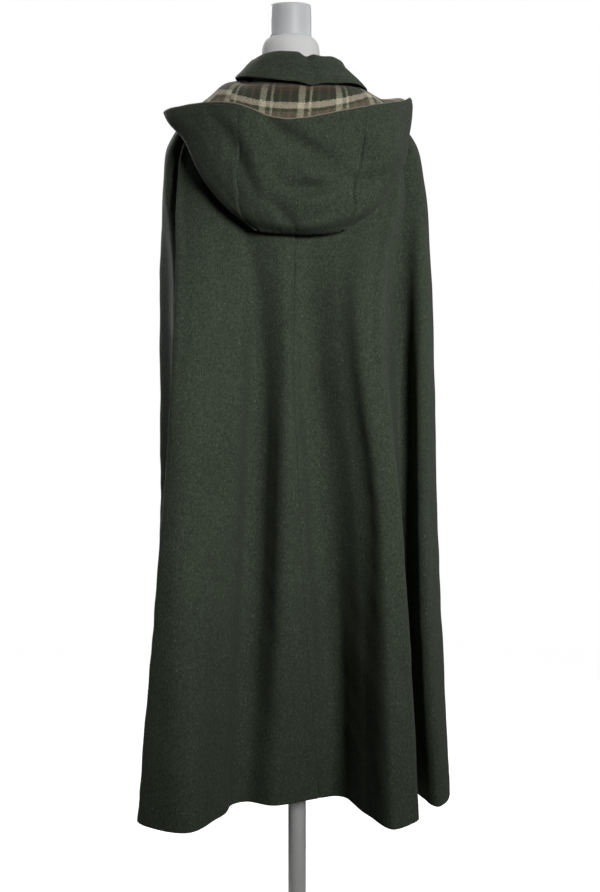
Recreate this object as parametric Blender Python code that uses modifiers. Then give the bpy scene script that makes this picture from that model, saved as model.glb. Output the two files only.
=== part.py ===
"""Hooded wool cape on a plain limbless dress form.

Metres, +Z up. The origin is on the floor under the pole. The front faces -Y, the hood hangs
on the back (+Y), and +X is the wearer's left. The cloth is cut as panels that follow one
surface: shoulder rings at the top, and below them a set of fold lines that run to the hem.
"""
import bmesh
import bpy
import numpy as np
from mathutils import Vector

GAP = 0.0003          # space left at a seam
CAPE_WALL = 0.0025
HOOD_WALL = 0.0020
LINING_WALL = 0.0012
COLLAR_WALL = 0.0030

# Rings of the yoke and shoulders, from the neck seam to the upper arm.
RINGS = (
    # name, drop, z back, z side, z front, half left, half right, back, front, power
    ("neck", 0.000, 1.447, 1.453, 1.400, 0.074, 0.066, 0.068, 0.064, 2.0),
    ("yoke", 0.035, 1.433, 1.439, 1.384, 0.104, 0.091, 0.086, 0.084, 2.0),
    ("slope", 0.080, 1.403, 1.418, 1.352, 0.143, 0.134, 0.104, 0.106, 2.1),
    ("shoulder", 0.125, 1.366, 1.390, 1.315, 0.185, 0.168, 0.117, 0.124, 2.2),
    ("round", 0.170, 1.326, 1.350, 1.280, 0.211, 0.195, 0.126, 0.136, 2.3),
    ("arm", 0.220, 1.278, 1.292, 1.245, 0.218, 0.207, 0.132, 0.144, 2.4),
)
# Levels below the rings, where the fold lines give the plan.
BLADE = (0.320, 1.180)
HIP = (0.760, 0.740)
HEM = (1.210, 0.290)

# Crests and valleys of the cloth, from the centre front round by the wearer's right.
FOLD_LINES = (
    # name, turn, blade x, y, hip x, y, hem x, y
    ("centre_front", -180, 0.000, -0.160, 0.000, -0.177, 0.000, -0.191),
    ("placket_r", -171, -0.034, -0.158, -0.036, -0.170, -0.038, -0.180),
    ("front_dip_r", -160, -0.076, -0.149, -0.080, -0.145, -0.080, -0.140),
    ("front_flute_r", -148, -0.116, -0.149, -0.120, -0.176, -0.124, -0.205),
    ("front_crest_r", -138, -0.149, -0.137, -0.161, -0.168, -0.174, -0.197),
    ("arm_dip_r", -126, -0.179, -0.107, -0.174, -0.104, -0.170, -0.098),
    ("arm_flute_r", -113, -0.203, -0.078, -0.221, -0.098, -0.238, -0.118),
    ("arm_crest_r", -104, -0.212, -0.050, -0.233, -0.066, -0.256, -0.076),
    ("side_dip_r", -95, -0.214, -0.020, -0.208, -0.022, -0.206, -0.022),
    ("side_r", -85, -0.2165, 0.012, -0.231, 0.016, -0.251, 0.024),
    ("strip_r", -74, -0.203, 0.074, -0.206, 0.108, -0.226, 0.126),
    ("deep_dip_r", -62, -0.175, 0.082, -0.177, 0.060, -0.188, 0.048),
    ("wall_r", -53, -0.155, 0.112, -0.162, 0.128, -0.186, 0.124),
    ("crest_r", -43, -0.1305, 0.139, -0.1600, 0.189, -0.189, 0.196),
    ("flute_r", -34, -0.105, 0.146, -0.134, 0.200, -0.152, 0.234),
    ("rise_r", -22, -0.070, 0.140, -0.098, 0.158, -0.108, 0.158),
    ("back_dip_r", -10, -0.034, 0.135, -0.056, 0.120, -0.076, 0.088),
    ("centre_back", 0, 0.002, 0.139, -0.008, 0.150, -0.038, 0.088),
    ("back_ridge", 7, 0.024, 0.142, 0.018, 0.160, 0.030, 0.120),
    ("back_dip_l", 20, 0.068, 0.135, 0.060, 0.128, 0.086, 0.106),
    ("rise_l", 31, 0.106, 0.139, 0.106, 0.166, 0.122, 0.180),
    ("flute_l", 43, 0.146, 0.147, 0.163, 0.206, 0.172, 0.250),
    ("crest_l", 54, 0.1790, 0.139, 0.209, 0.194, 0.249, 0.205),
    ("wall_l", 64, 0.194, 0.104, 0.207, 0.134, 0.232, 0.122),
    ("deep_dip_l", 75, 0.207, 0.058, 0.196, 0.078, 0.190, 0.070),
    ("side_l", 89, 0.2225, 0.010, 0.227, 0.022, 0.246, 0.030),
    ("side_dip_l", 100, 0.219, -0.030, 0.208, -0.022, 0.204, -0.016),
    ("arm_flute_l", 111, 0.210, -0.066, 0.229, -0.072, 0.250, -0.080),
    ("arm_crest_l", 121, 0.196, -0.096, 0.214, -0.112, 0.232, -0.126),
    ("arm_dip_l", 134, 0.166, -0.122, 0.164, -0.112, 0.158, -0.100),
    ("front_flute_l", 145, 0.130, -0.147, 0.140, -0.176, 0.152, -0.208),
    ("front_crest_l", 154, 0.100, -0.152, 0.104, -0.182, 0.108, -0.216),
    ("front_dip_l", 163, 0.066, -0.149, 0.068, -0.149, 0.068, -0.152),
    ("placket_l", 172, 0.032, -0.158, 0.034, -0.171, 0.036, -0.182),
)
NAMES = [row[0] for row in FOLD_LINES]
COUNT = len(FOLD_LINES)
TURNS = np.array([row[1] for row in FOLD_LINES], float)

# Rows of the cape's grid, as drops from the neck seam.
CAPE_ROWS = (0.0, 0.035, 0.08, 0.125, 0.17, 0.22, 0.27, 0.33, 0.42, 0.53, 0.64, 0.76, 0.90, 1.05, 1.21)
COLUMN_STEP = 0.033   # aim for the columns' spacing at the hem

PANELS = (
    # name, first line, last line
    ("front_right", "centre_front", "side_r"),
    ("back_right", "side_r", "centre_back"),
    ("back_left", "centre_back", "side_l"),
    ("front_left", "side_l", "centre_front"),
)
OVERLAP_COLUMNS = 2   # columns of each front that pass the centre
OVERLAP_LIFT = 0.0034

# The hood's side folds, in the cape's own coordinates.
HOOD_SIDES = (
    # v, turn left, drop left, lift left, turn right, drop right, lift right
    (0.00, 16.0, 0.288, 0.020, -21.5, 0.290, 0.020),
    (0.18, 24.5, 0.260, 0.020, -31.5, 0.264, 0.020),
    (0.45, 35.0, 0.216, 0.020, -42.5, 0.208, 0.020),
    (0.75, 50.0, 0.163, 0.024, -61.0, 0.150, 0.023),
    (1.00, 75.5, 0.1360, 0.036, -82.5, 0.1115, 0.038),
)
# The hood's outer layer down its middle.
HOOD_MIDDLE = (
    # v, y, z
    (0.00, 0.164, 1.209),
    (0.12, 0.186, 1.218),
    (0.35, 0.196, 1.262),
    (0.70, 0.194, 1.325),
    (1.00, 0.188, 1.379),
)
# How far the rim has sunk from the horns' height towards the middle's.
HOOD_RIM = (
    # share across, sag
    (-1.00, 0.00), (-0.95, 0.14), (-0.88, 0.24), (-0.70, 0.40), (-0.43, 0.66), (-0.10, 0.97),
    (0.03, 1.00), (0.14, 0.86), (0.26, 0.52), (0.38, 0.24), (0.55, 0.05), (0.80, 0.00), (1.00, 0.00),
)
HOOD_NECK_END = 118.0   # turn where the neck seam ends and the side rims begin
HOOD_NECK_SHARE = 0.50  # part of the half-width that is sewn to the neck
HOOD_FAN = 4            # how late the inner layer spreads round the neck
HOOD_NECK_DROP = 0.008  # from the cape's neck edge to the hood's
HOOD_BOTTOM_ROLL = 0.004
HOOD_NECK_LIFT = 0.0009 # from the cape to the hood where it is sewn on
HOOD_LIFT = 0.005       # from the cape's back to the hood's inner layer
HOOD_ROLL = 0.005       # height of the roll that the layer makes behind the neck
HOOD_STAND = 0.007      # how much further off the layer stands over the shoulders
HORN_STAND = 0.020      # how far the layer is raised at the open right horn
HOOD_ROWS = (1.0, 0.95, 0.88, 0.79, 0.66, 0.50, 0.34, 0.20, 0.09, 0.0)
HOOD_COLUMNS = 8
HOOD_SEAMS = (
    # v, outer left, outer right, inner left, inner right, as shares of the half-width
    (0.00, 0.93, -0.92, 0.93, -0.92),
    (0.12, 0.90, -0.78, 0.80, -0.74),
    (0.35, 0.70, -0.56, 0.60, -0.56),
    (0.67, 0.54, -0.57, 0.44, -0.46),
    (1.00, 0.36, -0.61, 0.30, -0.36),
)

COLLAR_RINGS = (
    # name, z back, z side, z front, half left, half right, back, front, rise per metre of x
    ("foot", 1.444, 1.450, 1.398, 0.0692, 0.0612, 0.0630, 0.0588, 0.0),
    ("stand", 1.468, 1.471, 1.422, 0.0675, 0.0600, 0.0625, 0.0600, 0.0),
    ("inner_fold", 1.488, 1.483, 1.438, 0.0675, 0.0620, 0.0660, 0.0640, 0.0),
    ("top", 1.4955, 1.4895, 1.443, 0.0720, 0.0690, 0.0730, 0.0710, 0.0),
    ("outer_fold", 1.490, 1.484, 1.438, 0.0775, 0.0785, 0.0805, 0.0790, 0.02),
    ("fall", 1.467, 1.471, 1.416, 0.0890, 0.0975, 0.0920, 0.0950, 0.04),
    ("edge", 1.4460, 1.456, 1.392, 0.1005, 0.1150, 0.1020, 0.1090, 0.06),
)
COLLAR_END = 172.0
COLLAR_COLUMNS = 25

BUTTON_DROPS = (0.075, 0.225, 0.375, 0.525, 0.675)
BUTTON_RADIUS = 0.0125
BUTTON_THICK = 0.0045
BUTTON_SIDES = 12
BUTTON_REACH = 0.2   # how far the cloth's slope is read each side of a button, in fold lines
# Shares of the button's radius and thickness, from the top down.
BUTTON_PROFILE = ((0.72, 0.80), (0.88, 1.00), (1.00, 0.65), (0.90, 0.0))

FORM_ROWS = slice(1, 4)   # rows of the cape's grid that lie on the form's shoulders
FORM_STEP = 3             # columns of the cape's grid to one of the form
FORM_EASE = 0.005         # how much further the form is from the cloth at front and back
NECK_RINGS = (
    # name, z back, z side, z front, half left, half right, back, front
    ("neck_root", 1.436, 1.436, 1.436, 0.0575, 0.0375, 0.0475, 0.0475),
    ("neck_base", 1.428, 1.433, 1.390, 0.0590, 0.0530, 0.0530, 0.0510),
)
TORSO_RINGS = (
    # name, z back, z side, z front, half left, half right, back, front
    ("armhole", 1.307, 1.325, 1.262, 0.1860, 0.1720, 0.1080, 0.1180),
    ("bust", 1.215, 1.215, 1.215, 0.1740, 0.1660, 0.1070, 0.1240),
    ("ribs", 1.120, 1.120, 1.120, 0.1500, 0.1480, 0.1000, 0.1120),
    ("waist", 1.030, 1.030, 1.030, 0.1280, 0.1280, 0.0880, 0.0940),
    ("belly", 0.950, 0.950, 0.950, 0.1460, 0.1460, 0.0980, 0.1020),
    ("hip", 0.860, 0.860, 0.860, 0.1580, 0.1580, 0.1040, 0.1060),
    ("seat", 0.800, 0.800, 0.800, 0.1520, 0.1520, 0.1000, 0.1020),
)
# Turned parts of the form: radius and height from the top down, about their own axis.
NECK_PROFILE = ((0.0345, 1.527), (0.0420, 1.521), (0.0465, 1.510), (0.0475, 1.490), (0.0475, 1.4363))
BLOCK_PROFILE = ((0.0310, 1.5780), (0.0330, 1.5760), (0.0335, 1.5273))
POLE_PROFILE = ((0.0150, 0.7997), (0.0150, 0.0203))
BASE_PROFILE = ((0.0600, 0.0200), (0.1500, 0.0180), (0.1720, 0.0120), (0.1750, 0.0060), (0.1750, 0.0))
TURNED_SIDES = 28
NECK_X = 0.010


def smooth(low, high, value):
    """Ease from 0 at low to 1 at high."""
    t = np.clip((value - low) / (high - low), 0.0, 1.0)
    return t * t * (3.0 - 2.0 * t)


def spline(knots, values, at):
    """A smooth curve through the values at the knots, read at the given places."""
    knots = np.asarray(knots, float)
    values = np.asarray(values, float)
    at = np.asarray(at, float)
    slopes = np.gradient(values, knots, axis=0)
    i = np.clip(np.searchsorted(knots, at, side="right") - 1, 0, len(knots) - 2)
    shape = (-1,) + (1,) * (values.ndim - 1)
    step = (knots[i + 1] - knots[i]).reshape(shape)
    t = (at - knots[i]).reshape(shape) / step
    rise = values[i + 1] - values[i]
    bend = slopes[i] * step - rise
    counter = rise - slopes[i + 1] * step
    return values[i] + t * rise + t * (1 - t) * ((1 - t) * bend + t * counter)


def ring_points(turns, z_back, z_side, z_front, left, right, back, front, power=2.0):
    """A level ring round the body; its height eases from back to side to front."""
    angle = np.radians(turns)
    across, along = np.sin(angle), np.cos(angle)
    x = np.where(across > 0, left, right) * np.sign(across) * np.abs(across) ** (2 / power)
    y = np.where(along > 0, back, front) * np.sign(along) * np.abs(along) ** (2 / power)
    end = np.where(along > 0, z_back, z_front)
    z = z_side + (end - z_side) * along ** 2
    return np.stack([x, y, z], axis=-1)


def control_points():
    """Levels by fold lines: the net that the cape's surface passes through."""
    levels = [ring_points(TURNS, *row[2:]) for row in RINGS]
    for column, (_, height) in zip((2, 4, 6), (BLADE, HIP, HEM)):
        plan = np.array([row[column:column + 2] for row in FOLD_LINES])
        levels.append(np.column_stack([plan, np.full(COUNT, height)]))
    drops = [row[1] for row in RINGS] + [BLADE[0], HIP[0], HEM[0]]
    return np.array(drops), np.array(levels)


DROPS, NET = control_points()
WRAP = 3
SPANS = np.linalg.norm(np.roll(NET[5:], -1, axis=1) - NET[5:], axis=2).mean(axis=0)


def around(index):
    """Distance round the body of a place given in fold lines, from the centre front."""
    whole = np.floor(index).astype(int)
    starts = np.concatenate([[0.0], np.cumsum(SPANS)])
    laps, line = np.divmod(whole, COUNT)
    return laps * starts[-1] + starts[line] + (index - whole) * SPANS[line]


def cape_grid(columns, rows):
    """The cape's outer surface at the given fold-line places and drops."""
    level = spline(DROPS, NET, rows)
    wrapped = np.concatenate([level[:, -WRAP:], level, level[:, :WRAP + 1]], axis=1)
    knots = around(np.arange(-WRAP, COUNT + WRAP + 1))
    grid = spline(knots, wrapped.swapaxes(0, 1), around(np.asarray(columns, float)))
    return grid.swapaxes(0, 1)


def cape_points(turn, drop, lift):
    """Single points on the cape, found by turn and drop and moved out by a lift."""
    places = np.interp(turn, np.append(TURNS, 180.0), np.arange(COUNT + 1.0))
    found = []
    for place, down, out in zip(places.ravel(), drop.ravel(), lift.ravel()):
        patch = cape_grid([place - 0.05, place + 0.05], [max(down - 0.004, 0.0), down + 0.004])
        along = patch[0, 1] - patch[0, 0] + patch[1, 1] - patch[1, 0]
        below = patch[1, 0] - patch[0, 0] + patch[1, 1] - patch[0, 1]
        normal = np.cross(along, below)
        found.append(patch.mean(axis=(0, 1)) + out * normal / np.linalg.norm(normal))
    return np.array(found).reshape(places.shape + (3,))


def outward(grid):
    """Unit normals of a grid whose rows run down and whose columns run from right to left."""
    down = np.gradient(grid, axis=0)
    across = np.gradient(grid, axis=1)
    normal = np.cross(across, down)
    return normal / np.linalg.norm(normal, axis=2, keepdims=True)


def trim(grid, amount, ends=(True, True)):
    """Draw the grid's first and last columns in by an amount."""
    grid = grid.copy()
    for near, far, wanted in ((0, 1, ends[0]), (-1, -2, ends[1])):
        if wanted:
            step = grid[:, far] - grid[:, near]
            grid[:, near] += amount * step / np.linalg.norm(step, axis=1, keepdims=True)
    return grid


def material(name, colour, roughness):
    """A Principled material in one colour."""
    made = bpy.data.materials.new(name)
    made.use_nodes = True
    shader = made.node_tree.nodes["Principled BSDF"]
    shader.inputs["Base Color"].default_value = (*colour, 1.0)
    shader.inputs["Roughness"].default_value = roughness
    return made


def add_object(name, verts, faces, finish):
    """Put a mesh in the part's collection, with its faces turned out."""
    mesh = bpy.data.meshes.new(name)
    mesh.from_pydata([tuple(v) for v in verts], [], faces)
    work = bmesh.new()
    work.from_mesh(mesh)
    bmesh.ops.recalc_face_normals(work, faces=work.faces)
    work.to_mesh(mesh)
    work.free()
    mesh.materials.append(finish)
    obj = bpy.data.objects.new(name, mesh)
    bpy.data.collections[PART_NAME].objects.link(obj)
    return obj


def cloth_body(name, outer, inner, finish):
    """Close two matching grids into one sheet with a rim."""
    rows, cols = outer.shape[:2]
    verts = np.concatenate([outer.reshape(-1, 3), inner.reshape(-1, 3)])
    under = rows * cols
    faces = []
    for r in range(rows - 1):
        for c in range(cols - 1):
            a = r * cols + c
            for face in ((a, a + 1, a + cols + 1), (a, a + cols + 1, a + cols)):
                faces.append(face)
                faces.append(tuple(under + i for i in reversed(face)))
    top = list(range(cols))
    right = [r * cols + cols - 1 for r in range(1, rows)]
    bottom = [(rows - 1) * cols + c for c in range(cols - 2, -1, -1)]
    left = [r * cols for r in range(rows - 2, 0, -1)]
    edge = top + right + bottom + left
    for a, b in zip(edge, edge[1:] + edge[:1]):
        high, low = sorted((a, b), key=lambda i: -verts[i][2])
        faces.append((high, low, under + low))
        faces.append((high, under + low, under + high))
    return add_object(name, verts, faces, finish)


def column_places():
    """Places of the grid's columns for each span between fold lines."""
    hem = NET[-1]
    places = [0.0]
    for line in range(COUNT):
        span = np.linalg.norm(hem[(line + 1) % COUNT] - hem[line])
        parts = max(2, round(span / COLUMN_STEP))
        places += [line + (k + 1) / parts for k in range(parts)]
    return np.array(places)


def cape_ring():
    """Columns, outer grid and normals of the whole cape, as a closed ring."""
    ring = column_places()[:-1]
    outer = cape_grid(ring, CAPE_ROWS)
    wide = np.concatenate([outer[:, -2:], outer, outer[:, :2]], axis=1)
    return ring, outer, outward(wide)[:, 2:-2]


def cape_panels(finish):
    """The four cut panels; the right front laps over the left one."""
    ring, outer, normal = cape_ring()
    last = len(ring)
    for name, first_line, last_line in PANELS:
        start = int(np.searchsorted(ring, NAMES.index(first_line)))
        stop = int(np.searchsorted(ring, NAMES.index(last_line)))
        if name == "front_left":
            stop = last + OVERLAP_COLUMNS
        if name == "front_right":
            start = -OVERLAP_COLUMNS
        span = np.arange(start, stop + 1)
        sheet, side = outer[:, span % last], normal[:, span % last]
        ends = (name != "front_right", name != "front_left")
        if name == "front_right":
            lift = OVERLAP_LIFT * (1.0 - smooth(OVERLAP_COLUMNS, OVERLAP_COLUMNS + 3.0, span))
            sheet = sheet + side * lift[None, :, None]
        inner = sheet - side * CAPE_WALL
        cloth_body(name, trim(sheet, GAP / 2, ends), trim(inner, GAP / 2, ends), finish)


def side_curve(hand):
    """Points of one of the hood's side folds: left is +1 and right is -1."""
    table = np.array(HOOD_SIDES)
    shift = 1 if hand > 0 else 4
    turn, drop, lift = spline(table[:, 0], table[:, shift:shift + 3], SIDE_STEPS).T
    return cape_points(turn, drop, lift)


SIDE_STEPS = np.linspace(0.0, 1.0, 17)
SIDE_CURVES = {1: side_curve(1), -1: side_curve(-1)}


def hood_side(v, hand):
    """The side fold at height shares v."""
    return spline(SIDE_STEPS, SIDE_CURVES[hand], v.ravel()).reshape(v.shape + (3,))


def hood_outer(p, v):
    """The hood's outer layer at share p across and share v up."""
    left, right = hood_side(v, 1), hood_side(v, -1)
    edge = right + (left - right) * ((1 + p) / 2)[..., None]
    table = np.array(HOOD_MIDDLE)
    middle = spline(table[:, 0], table[:, 1:], v.ravel()).reshape(v.shape + (2,))
    crown = (1 - np.abs(p) ** 2.2) ** 0.5
    rim = np.array(HOOD_RIM)
    rim_sag = spline(rim[:, 0], rim[:, 1], p.ravel()).reshape(p.shape)
    low_sag = 1 - np.abs(p) ** 1.7
    sag = low_sag + (rim_sag - low_sag) * smooth(0.25, 1.0, v)
    y = edge[..., 1] + (middle[..., 0] - edge[..., 1]) * crown
    z = edge[..., 2] + (middle[..., 1] - edge[..., 2]) * sag
    return np.stack([edge[..., 0], y, z], axis=-1)


def side_value(v, column):
    """A column of the side folds' table at share v."""
    table = np.array(HOOD_SIDES)
    at = spline(table[:, 0], table, v.ravel())
    return at[np.arange(v.size), column.ravel()].reshape(v.shape)


def hood_inner(p, v):
    """The hood's inner layer, which lies on the cape's back and is sewn to the neck."""
    share = np.abs(p)
    column = np.where(p >= 0, 1, 4)
    horn_turn, horn_drop = side_value(np.ones_like(v), column), side_value(np.ones_like(v), column + 1)
    low_drop = side_value(np.zeros_like(v), column + 1)
    fan = v ** HOOD_FAN
    rim = smooth(HOOD_NECK_SHARE, 1.0, share)
    neck_turn = np.sign(p) * np.minimum(share / HOOD_NECK_SHARE, 1.0) * HOOD_NECK_END
    top_turn = neck_turn + (horn_turn - neck_turn) * rim
    turn = side_value(v, column) * share + (top_turn - horn_turn * share) * fan
    middle = low_drop + (HOOD_NECK_DROP - low_drop) * v
    drop = middle + (side_value(v, column + 1) - middle) * share ** 2
    drop += (horn_drop - HOOD_NECK_DROP) * (rim - share ** 2) * fan
    sewn = smooth(0.80, 1.0, v) * (1 - smooth(0.25, HOOD_NECK_SHARE, share))
    hand = smooth(-0.5, 0.3, p)
    settled = 1 - 0.75 * smooth(0.45, 0.65, share) * smooth(0.75, 1.0, v)
    lift = HOOD_LIFT + HOOD_STAND * smooth(0.10, 0.60, share) * v * (0.6 + 0.4 * hand) * settled
    lift += HOOD_ROLL * np.exp(-((v - 0.90) / 0.12) ** 2) * hand * (1 - smooth(0.4, 0.8, p))
    lift += HORN_STAND * np.exp(-((p + 0.92) / 0.08) ** 2) * smooth(0.6, 1.0, v)
    flat = cape_points(turn, drop, lift + (HOOD_NECK_LIFT - lift) * sewn)
    left, right = hood_side(v, 1), hood_side(v, -1)
    edge = right + (left - right) * ((1 + p) / 2)[..., None]
    return edge + (flat - edge) * ((1 - share ** 6) ** 0.5)[..., None]


def layer_shares(v, columns, left_seam, right_seam):
    """Shares across of one layer: between its seams, to the left fold and to the right fold."""
    table = np.array(HOOD_SEAMS)
    left = np.interp(v, table[:, 0], table[:, left_seam])
    right = np.interp(v, table[:, 0], table[:, right_seam])
    share = np.linspace(0.0, 1.0, columns)
    across = right + (left - right) * share
    to_left = np.sin(np.arcsin(left) + (np.pi / 2 - np.arcsin(left)) * share)
    to_right = np.sin(np.arcsin(right) + (-np.pi / 2 - np.arcsin(right)) * share)
    return across, to_left, to_right


def hood_loop(rows, columns):
    """The hood as rows of closed loops: six spans between seams and side folds."""
    v = np.repeat(np.array(rows)[:, None], columns, axis=1)
    over, over_left, over_right = layer_shares(v, columns, 1, 2)
    under, under_left, under_right = layer_shares(v, columns, 3, 4)
    spans = (
        hood_outer(over, v),
        hood_outer(over_left, v),
        hood_inner(under_left, v)[:, ::-1],
        hood_inner(under, v)[:, ::-1],
        hood_inner(under_right, v),
        hood_outer(over_right, v)[:, ::-1],
    )
    return np.concatenate([span[:, :-1] for span in spans], axis=1)


def loop_normals(grid):
    """Outward normals of rows of closed loops, turned down at the bottom row."""
    ends = np.concatenate([grid[:, -1:], grid, grid[:, :1]], axis=1)
    normal = outward(ends)[:, 1:-1]
    normal[-1, :, 2] -= 0.8
    return normal / np.linalg.norm(normal, axis=2, keepdims=True)


def hood_pieces(grid, span):
    """Cut a hood grid into its middle and two side panels."""
    size = grid.shape[1]
    right_seam = np.arange(4 * span, 6 * span + 1) % size
    outer, inner = grid[:, :span + 1], grid[::-1, 4 * span:3 * span - 1:-1]
    turn = (outer[-1] + inner[0]) / 2
    middle = np.concatenate([outer, turn[None], inner])
    return {"middle": middle, "left": grid[:, span:3 * span + 1], "right": grid[:, right_seam]}


def hood_bodies(prefix, top, bottom, finish):
    """Three hood pieces as layers between two depths under the hood's outside."""
    grid = hood_loop(HOOD_ROWS, HOOD_COLUMNS)
    normal = loop_normals(grid)
    span = HOOD_COLUMNS - 1
    shapes = hood_pieces(grid, span)
    sides = hood_pieces(normal, span)
    roll = len(HOOD_ROWS)
    shapes["middle"][roll, :, 2] -= HOOD_BOTTOM_ROLL * (1.0 - np.linspace(-1.0, 1.0, HOOD_COLUMNS) ** 4)
    sides["middle"][roll] = (0.0, 0.0, -1.0)
    for name, shape in shapes.items():
        upper, lower = shape - sides[name] * top, shape - sides[name] * bottom
        cloth_body(f"{prefix}_{name}", trim(upper, GAP / 2), trim(lower, GAP / 2), finish)


def collar(finish):
    """The turned-down collar: up the stand, over the fold and down the fall."""
    turns = np.linspace(-COLLAR_END, COLLAR_END, COLLAR_COLUMNS)
    face = np.array([ring_points(turns, *row[1:8]) for row in COLLAR_RINGS])
    face[..., 2] += face[..., 0] * np.array([row[8] for row in COLLAR_RINGS])[:, None]
    back = face - outward(face) * COLLAR_WALL
    cloth_body("collar", face, back, finish)


def loft_body(name, rings, finish):
    """Close a stack of rings into one solid with flat ends."""
    levels, sides = rings.shape[:2]
    faces = [tuple(range(sides)), tuple((levels - 1) * sides + i for i in reversed(range(sides)))]
    for level in range(levels - 1):
        for i in range(sides):
            a, b = level * sides + i, level * sides + (i + 1) % sides
            faces.append((a, b, b + sides))
            faces.append((a, b + sides, a + sides))
    return add_object(name, rings.reshape(-1, 3), faces, finish)


def turned_body(name, profile, x, finish, sides=TURNED_SIDES):
    """A solid turned about a vertical axis from a profile that runs top to bottom."""
    points = [(0.0, 0.0, profile[0][1])] + [(r, 0.0, z) for r, z in profile] + [(0.0, 0.0, profile[-1][1])]
    mesh = bpy.data.meshes.new(name)
    mesh.from_pydata(points, [(i, i + 1) for i in range(len(points) - 1)], [])
    mesh.materials.append(finish)
    obj = bpy.data.objects.new(name, mesh)
    obj.location = (x, 0.0, 0.0)
    screw = obj.modifiers.new("turn", "SCREW")
    screw.axis = "Z"
    screw.steps = screw.render_steps = sides
    screw.use_merge_vertices = True
    screw.merge_threshold = 0.0001
    bpy.data.collections[PART_NAME].objects.link(obj)
    return obj


def buttons(finish):
    """The front's buttons, each a turned disc seated on the facets of the upper front."""
    near = cape_grid([-BUTTON_REACH, 0.0, BUTTON_REACH], CAPE_ROWS)
    face = near[:, 1] + outward(near)[:, 1] * OVERLAP_LIFT
    for number, drop in enumerate(BUTTON_DROPS, 1):
        row = int(np.searchsorted(CAPE_ROWS, drop)) - 1
        share = (drop - CAPE_ROWS[row]) / (CAPE_ROWS[row + 1] - CAPE_ROWS[row])
        down = face[row + 1] - face[row]
        normal = Vector(np.cross(down, (1.0, 0.0, 0.0))).normalized()
        profile = [(r * BUTTON_RADIUS, z * BUTTON_THICK) for r, z in BUTTON_PROFILE]
        disc = turned_body(f"button_{number}", profile, 0.0, finish, BUTTON_SIDES)
        disc.location = Vector(face[row] + down * share) + normal * GAP
        disc.rotation_euler = normal.to_track_quat("Z", "Y").to_euler()


def torso_rings():
    """Rings of the torso; its shoulders are the cape's own shape, drawn in."""
    ring, outer, normal = cape_ring()
    turns = np.interp(ring[::FORM_STEP], np.arange(COUNT + 1.0), np.append(TURNS, 180.0))
    inset = CAPE_WALL + GAP + FORM_EASE * np.cos(np.radians(turns)) ** 2
    shoulders = outer[FORM_ROWS, ::FORM_STEP] - normal[FORM_ROWS, ::FORM_STEP] * inset[:, None]
    neck = [ring_points(turns, *row[1:]) for row in NECK_RINGS]
    body = [ring_points(turns, *row[1:]) for row in TORSO_RINGS]
    return np.concatenate([neck, shoulders, body])


def dress_form(cover, paint, metal):
    """The form that the cape hangs on, from the top block to the base."""
    loft_body("form_torso", torso_rings(), cover)
    turned_body("form_neck", NECK_PROFILE, NECK_X, cover)
    turned_body("form_neck_block", BLOCK_PROFILE, NECK_X, paint)
    turned_body("form_pole", POLE_PROFILE, 0.0, metal)
    turned_body("form_base", BASE_PROFILE, 0.0, metal)


def build():
    """Make every node of the part."""
    loden = material("loden", (0.040, 0.050, 0.036), 0.95)
    plaid = material("plaid_lining", (0.110, 0.085, 0.050), 0.95)
    horn = material("button_horn", (0.060, 0.035, 0.020), 0.45)
    cover = material("form_cover", (0.800, 0.800, 0.780), 0.80)
    paint = material("form_paint", (0.780, 0.790, 0.800), 0.50)
    metal = material("stand_paint", (0.780, 0.780, 0.770), 0.40)
    cape_panels(loden)
    hood_bodies("hood", 0.0, HOOD_WALL, loden)
    hood_bodies("lining", HOOD_WALL + GAP, HOOD_WALL + GAP + LINING_WALL, plaid)
    collar(loden)
    buttons(horn)
    dress_form(cover, paint, metal)


PART_NAME = "hooded_cape"
for old in list(bpy.data.objects):
    bpy.data.objects.remove(old)
bpy.context.scene.collection.children.link(bpy.data.collections.new(PART_NAME))
build()
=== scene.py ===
"""Looks for the hooded cape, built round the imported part.

Metres, in the part's frame: +Z up, the hood on +Y and the buttons on -Y. Each cloth piece is a
thin shell on the same surface as its solid, with finer folds, creases, seams and stitching.
"""
import math

import bpy
import numpy as np
from mathutils import Matrix, Vector


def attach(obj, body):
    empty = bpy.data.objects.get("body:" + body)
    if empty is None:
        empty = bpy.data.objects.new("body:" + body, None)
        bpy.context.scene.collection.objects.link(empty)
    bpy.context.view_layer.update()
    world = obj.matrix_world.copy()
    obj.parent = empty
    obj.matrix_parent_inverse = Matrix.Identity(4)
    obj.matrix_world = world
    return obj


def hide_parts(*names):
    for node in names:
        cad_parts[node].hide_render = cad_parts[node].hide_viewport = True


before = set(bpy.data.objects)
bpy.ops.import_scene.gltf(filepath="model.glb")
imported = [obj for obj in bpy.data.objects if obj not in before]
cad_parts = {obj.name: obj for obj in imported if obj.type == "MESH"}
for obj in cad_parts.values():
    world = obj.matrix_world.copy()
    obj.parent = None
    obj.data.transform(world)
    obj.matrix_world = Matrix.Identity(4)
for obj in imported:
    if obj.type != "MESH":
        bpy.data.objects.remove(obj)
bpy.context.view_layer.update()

GAP = 0.0003          # space left at a seam
CAPE_WALL = 0.0025
HOOD_WALL = 0.0020
LINING_WALL = 0.0012
COLLAR_WALL = 0.0030

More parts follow.
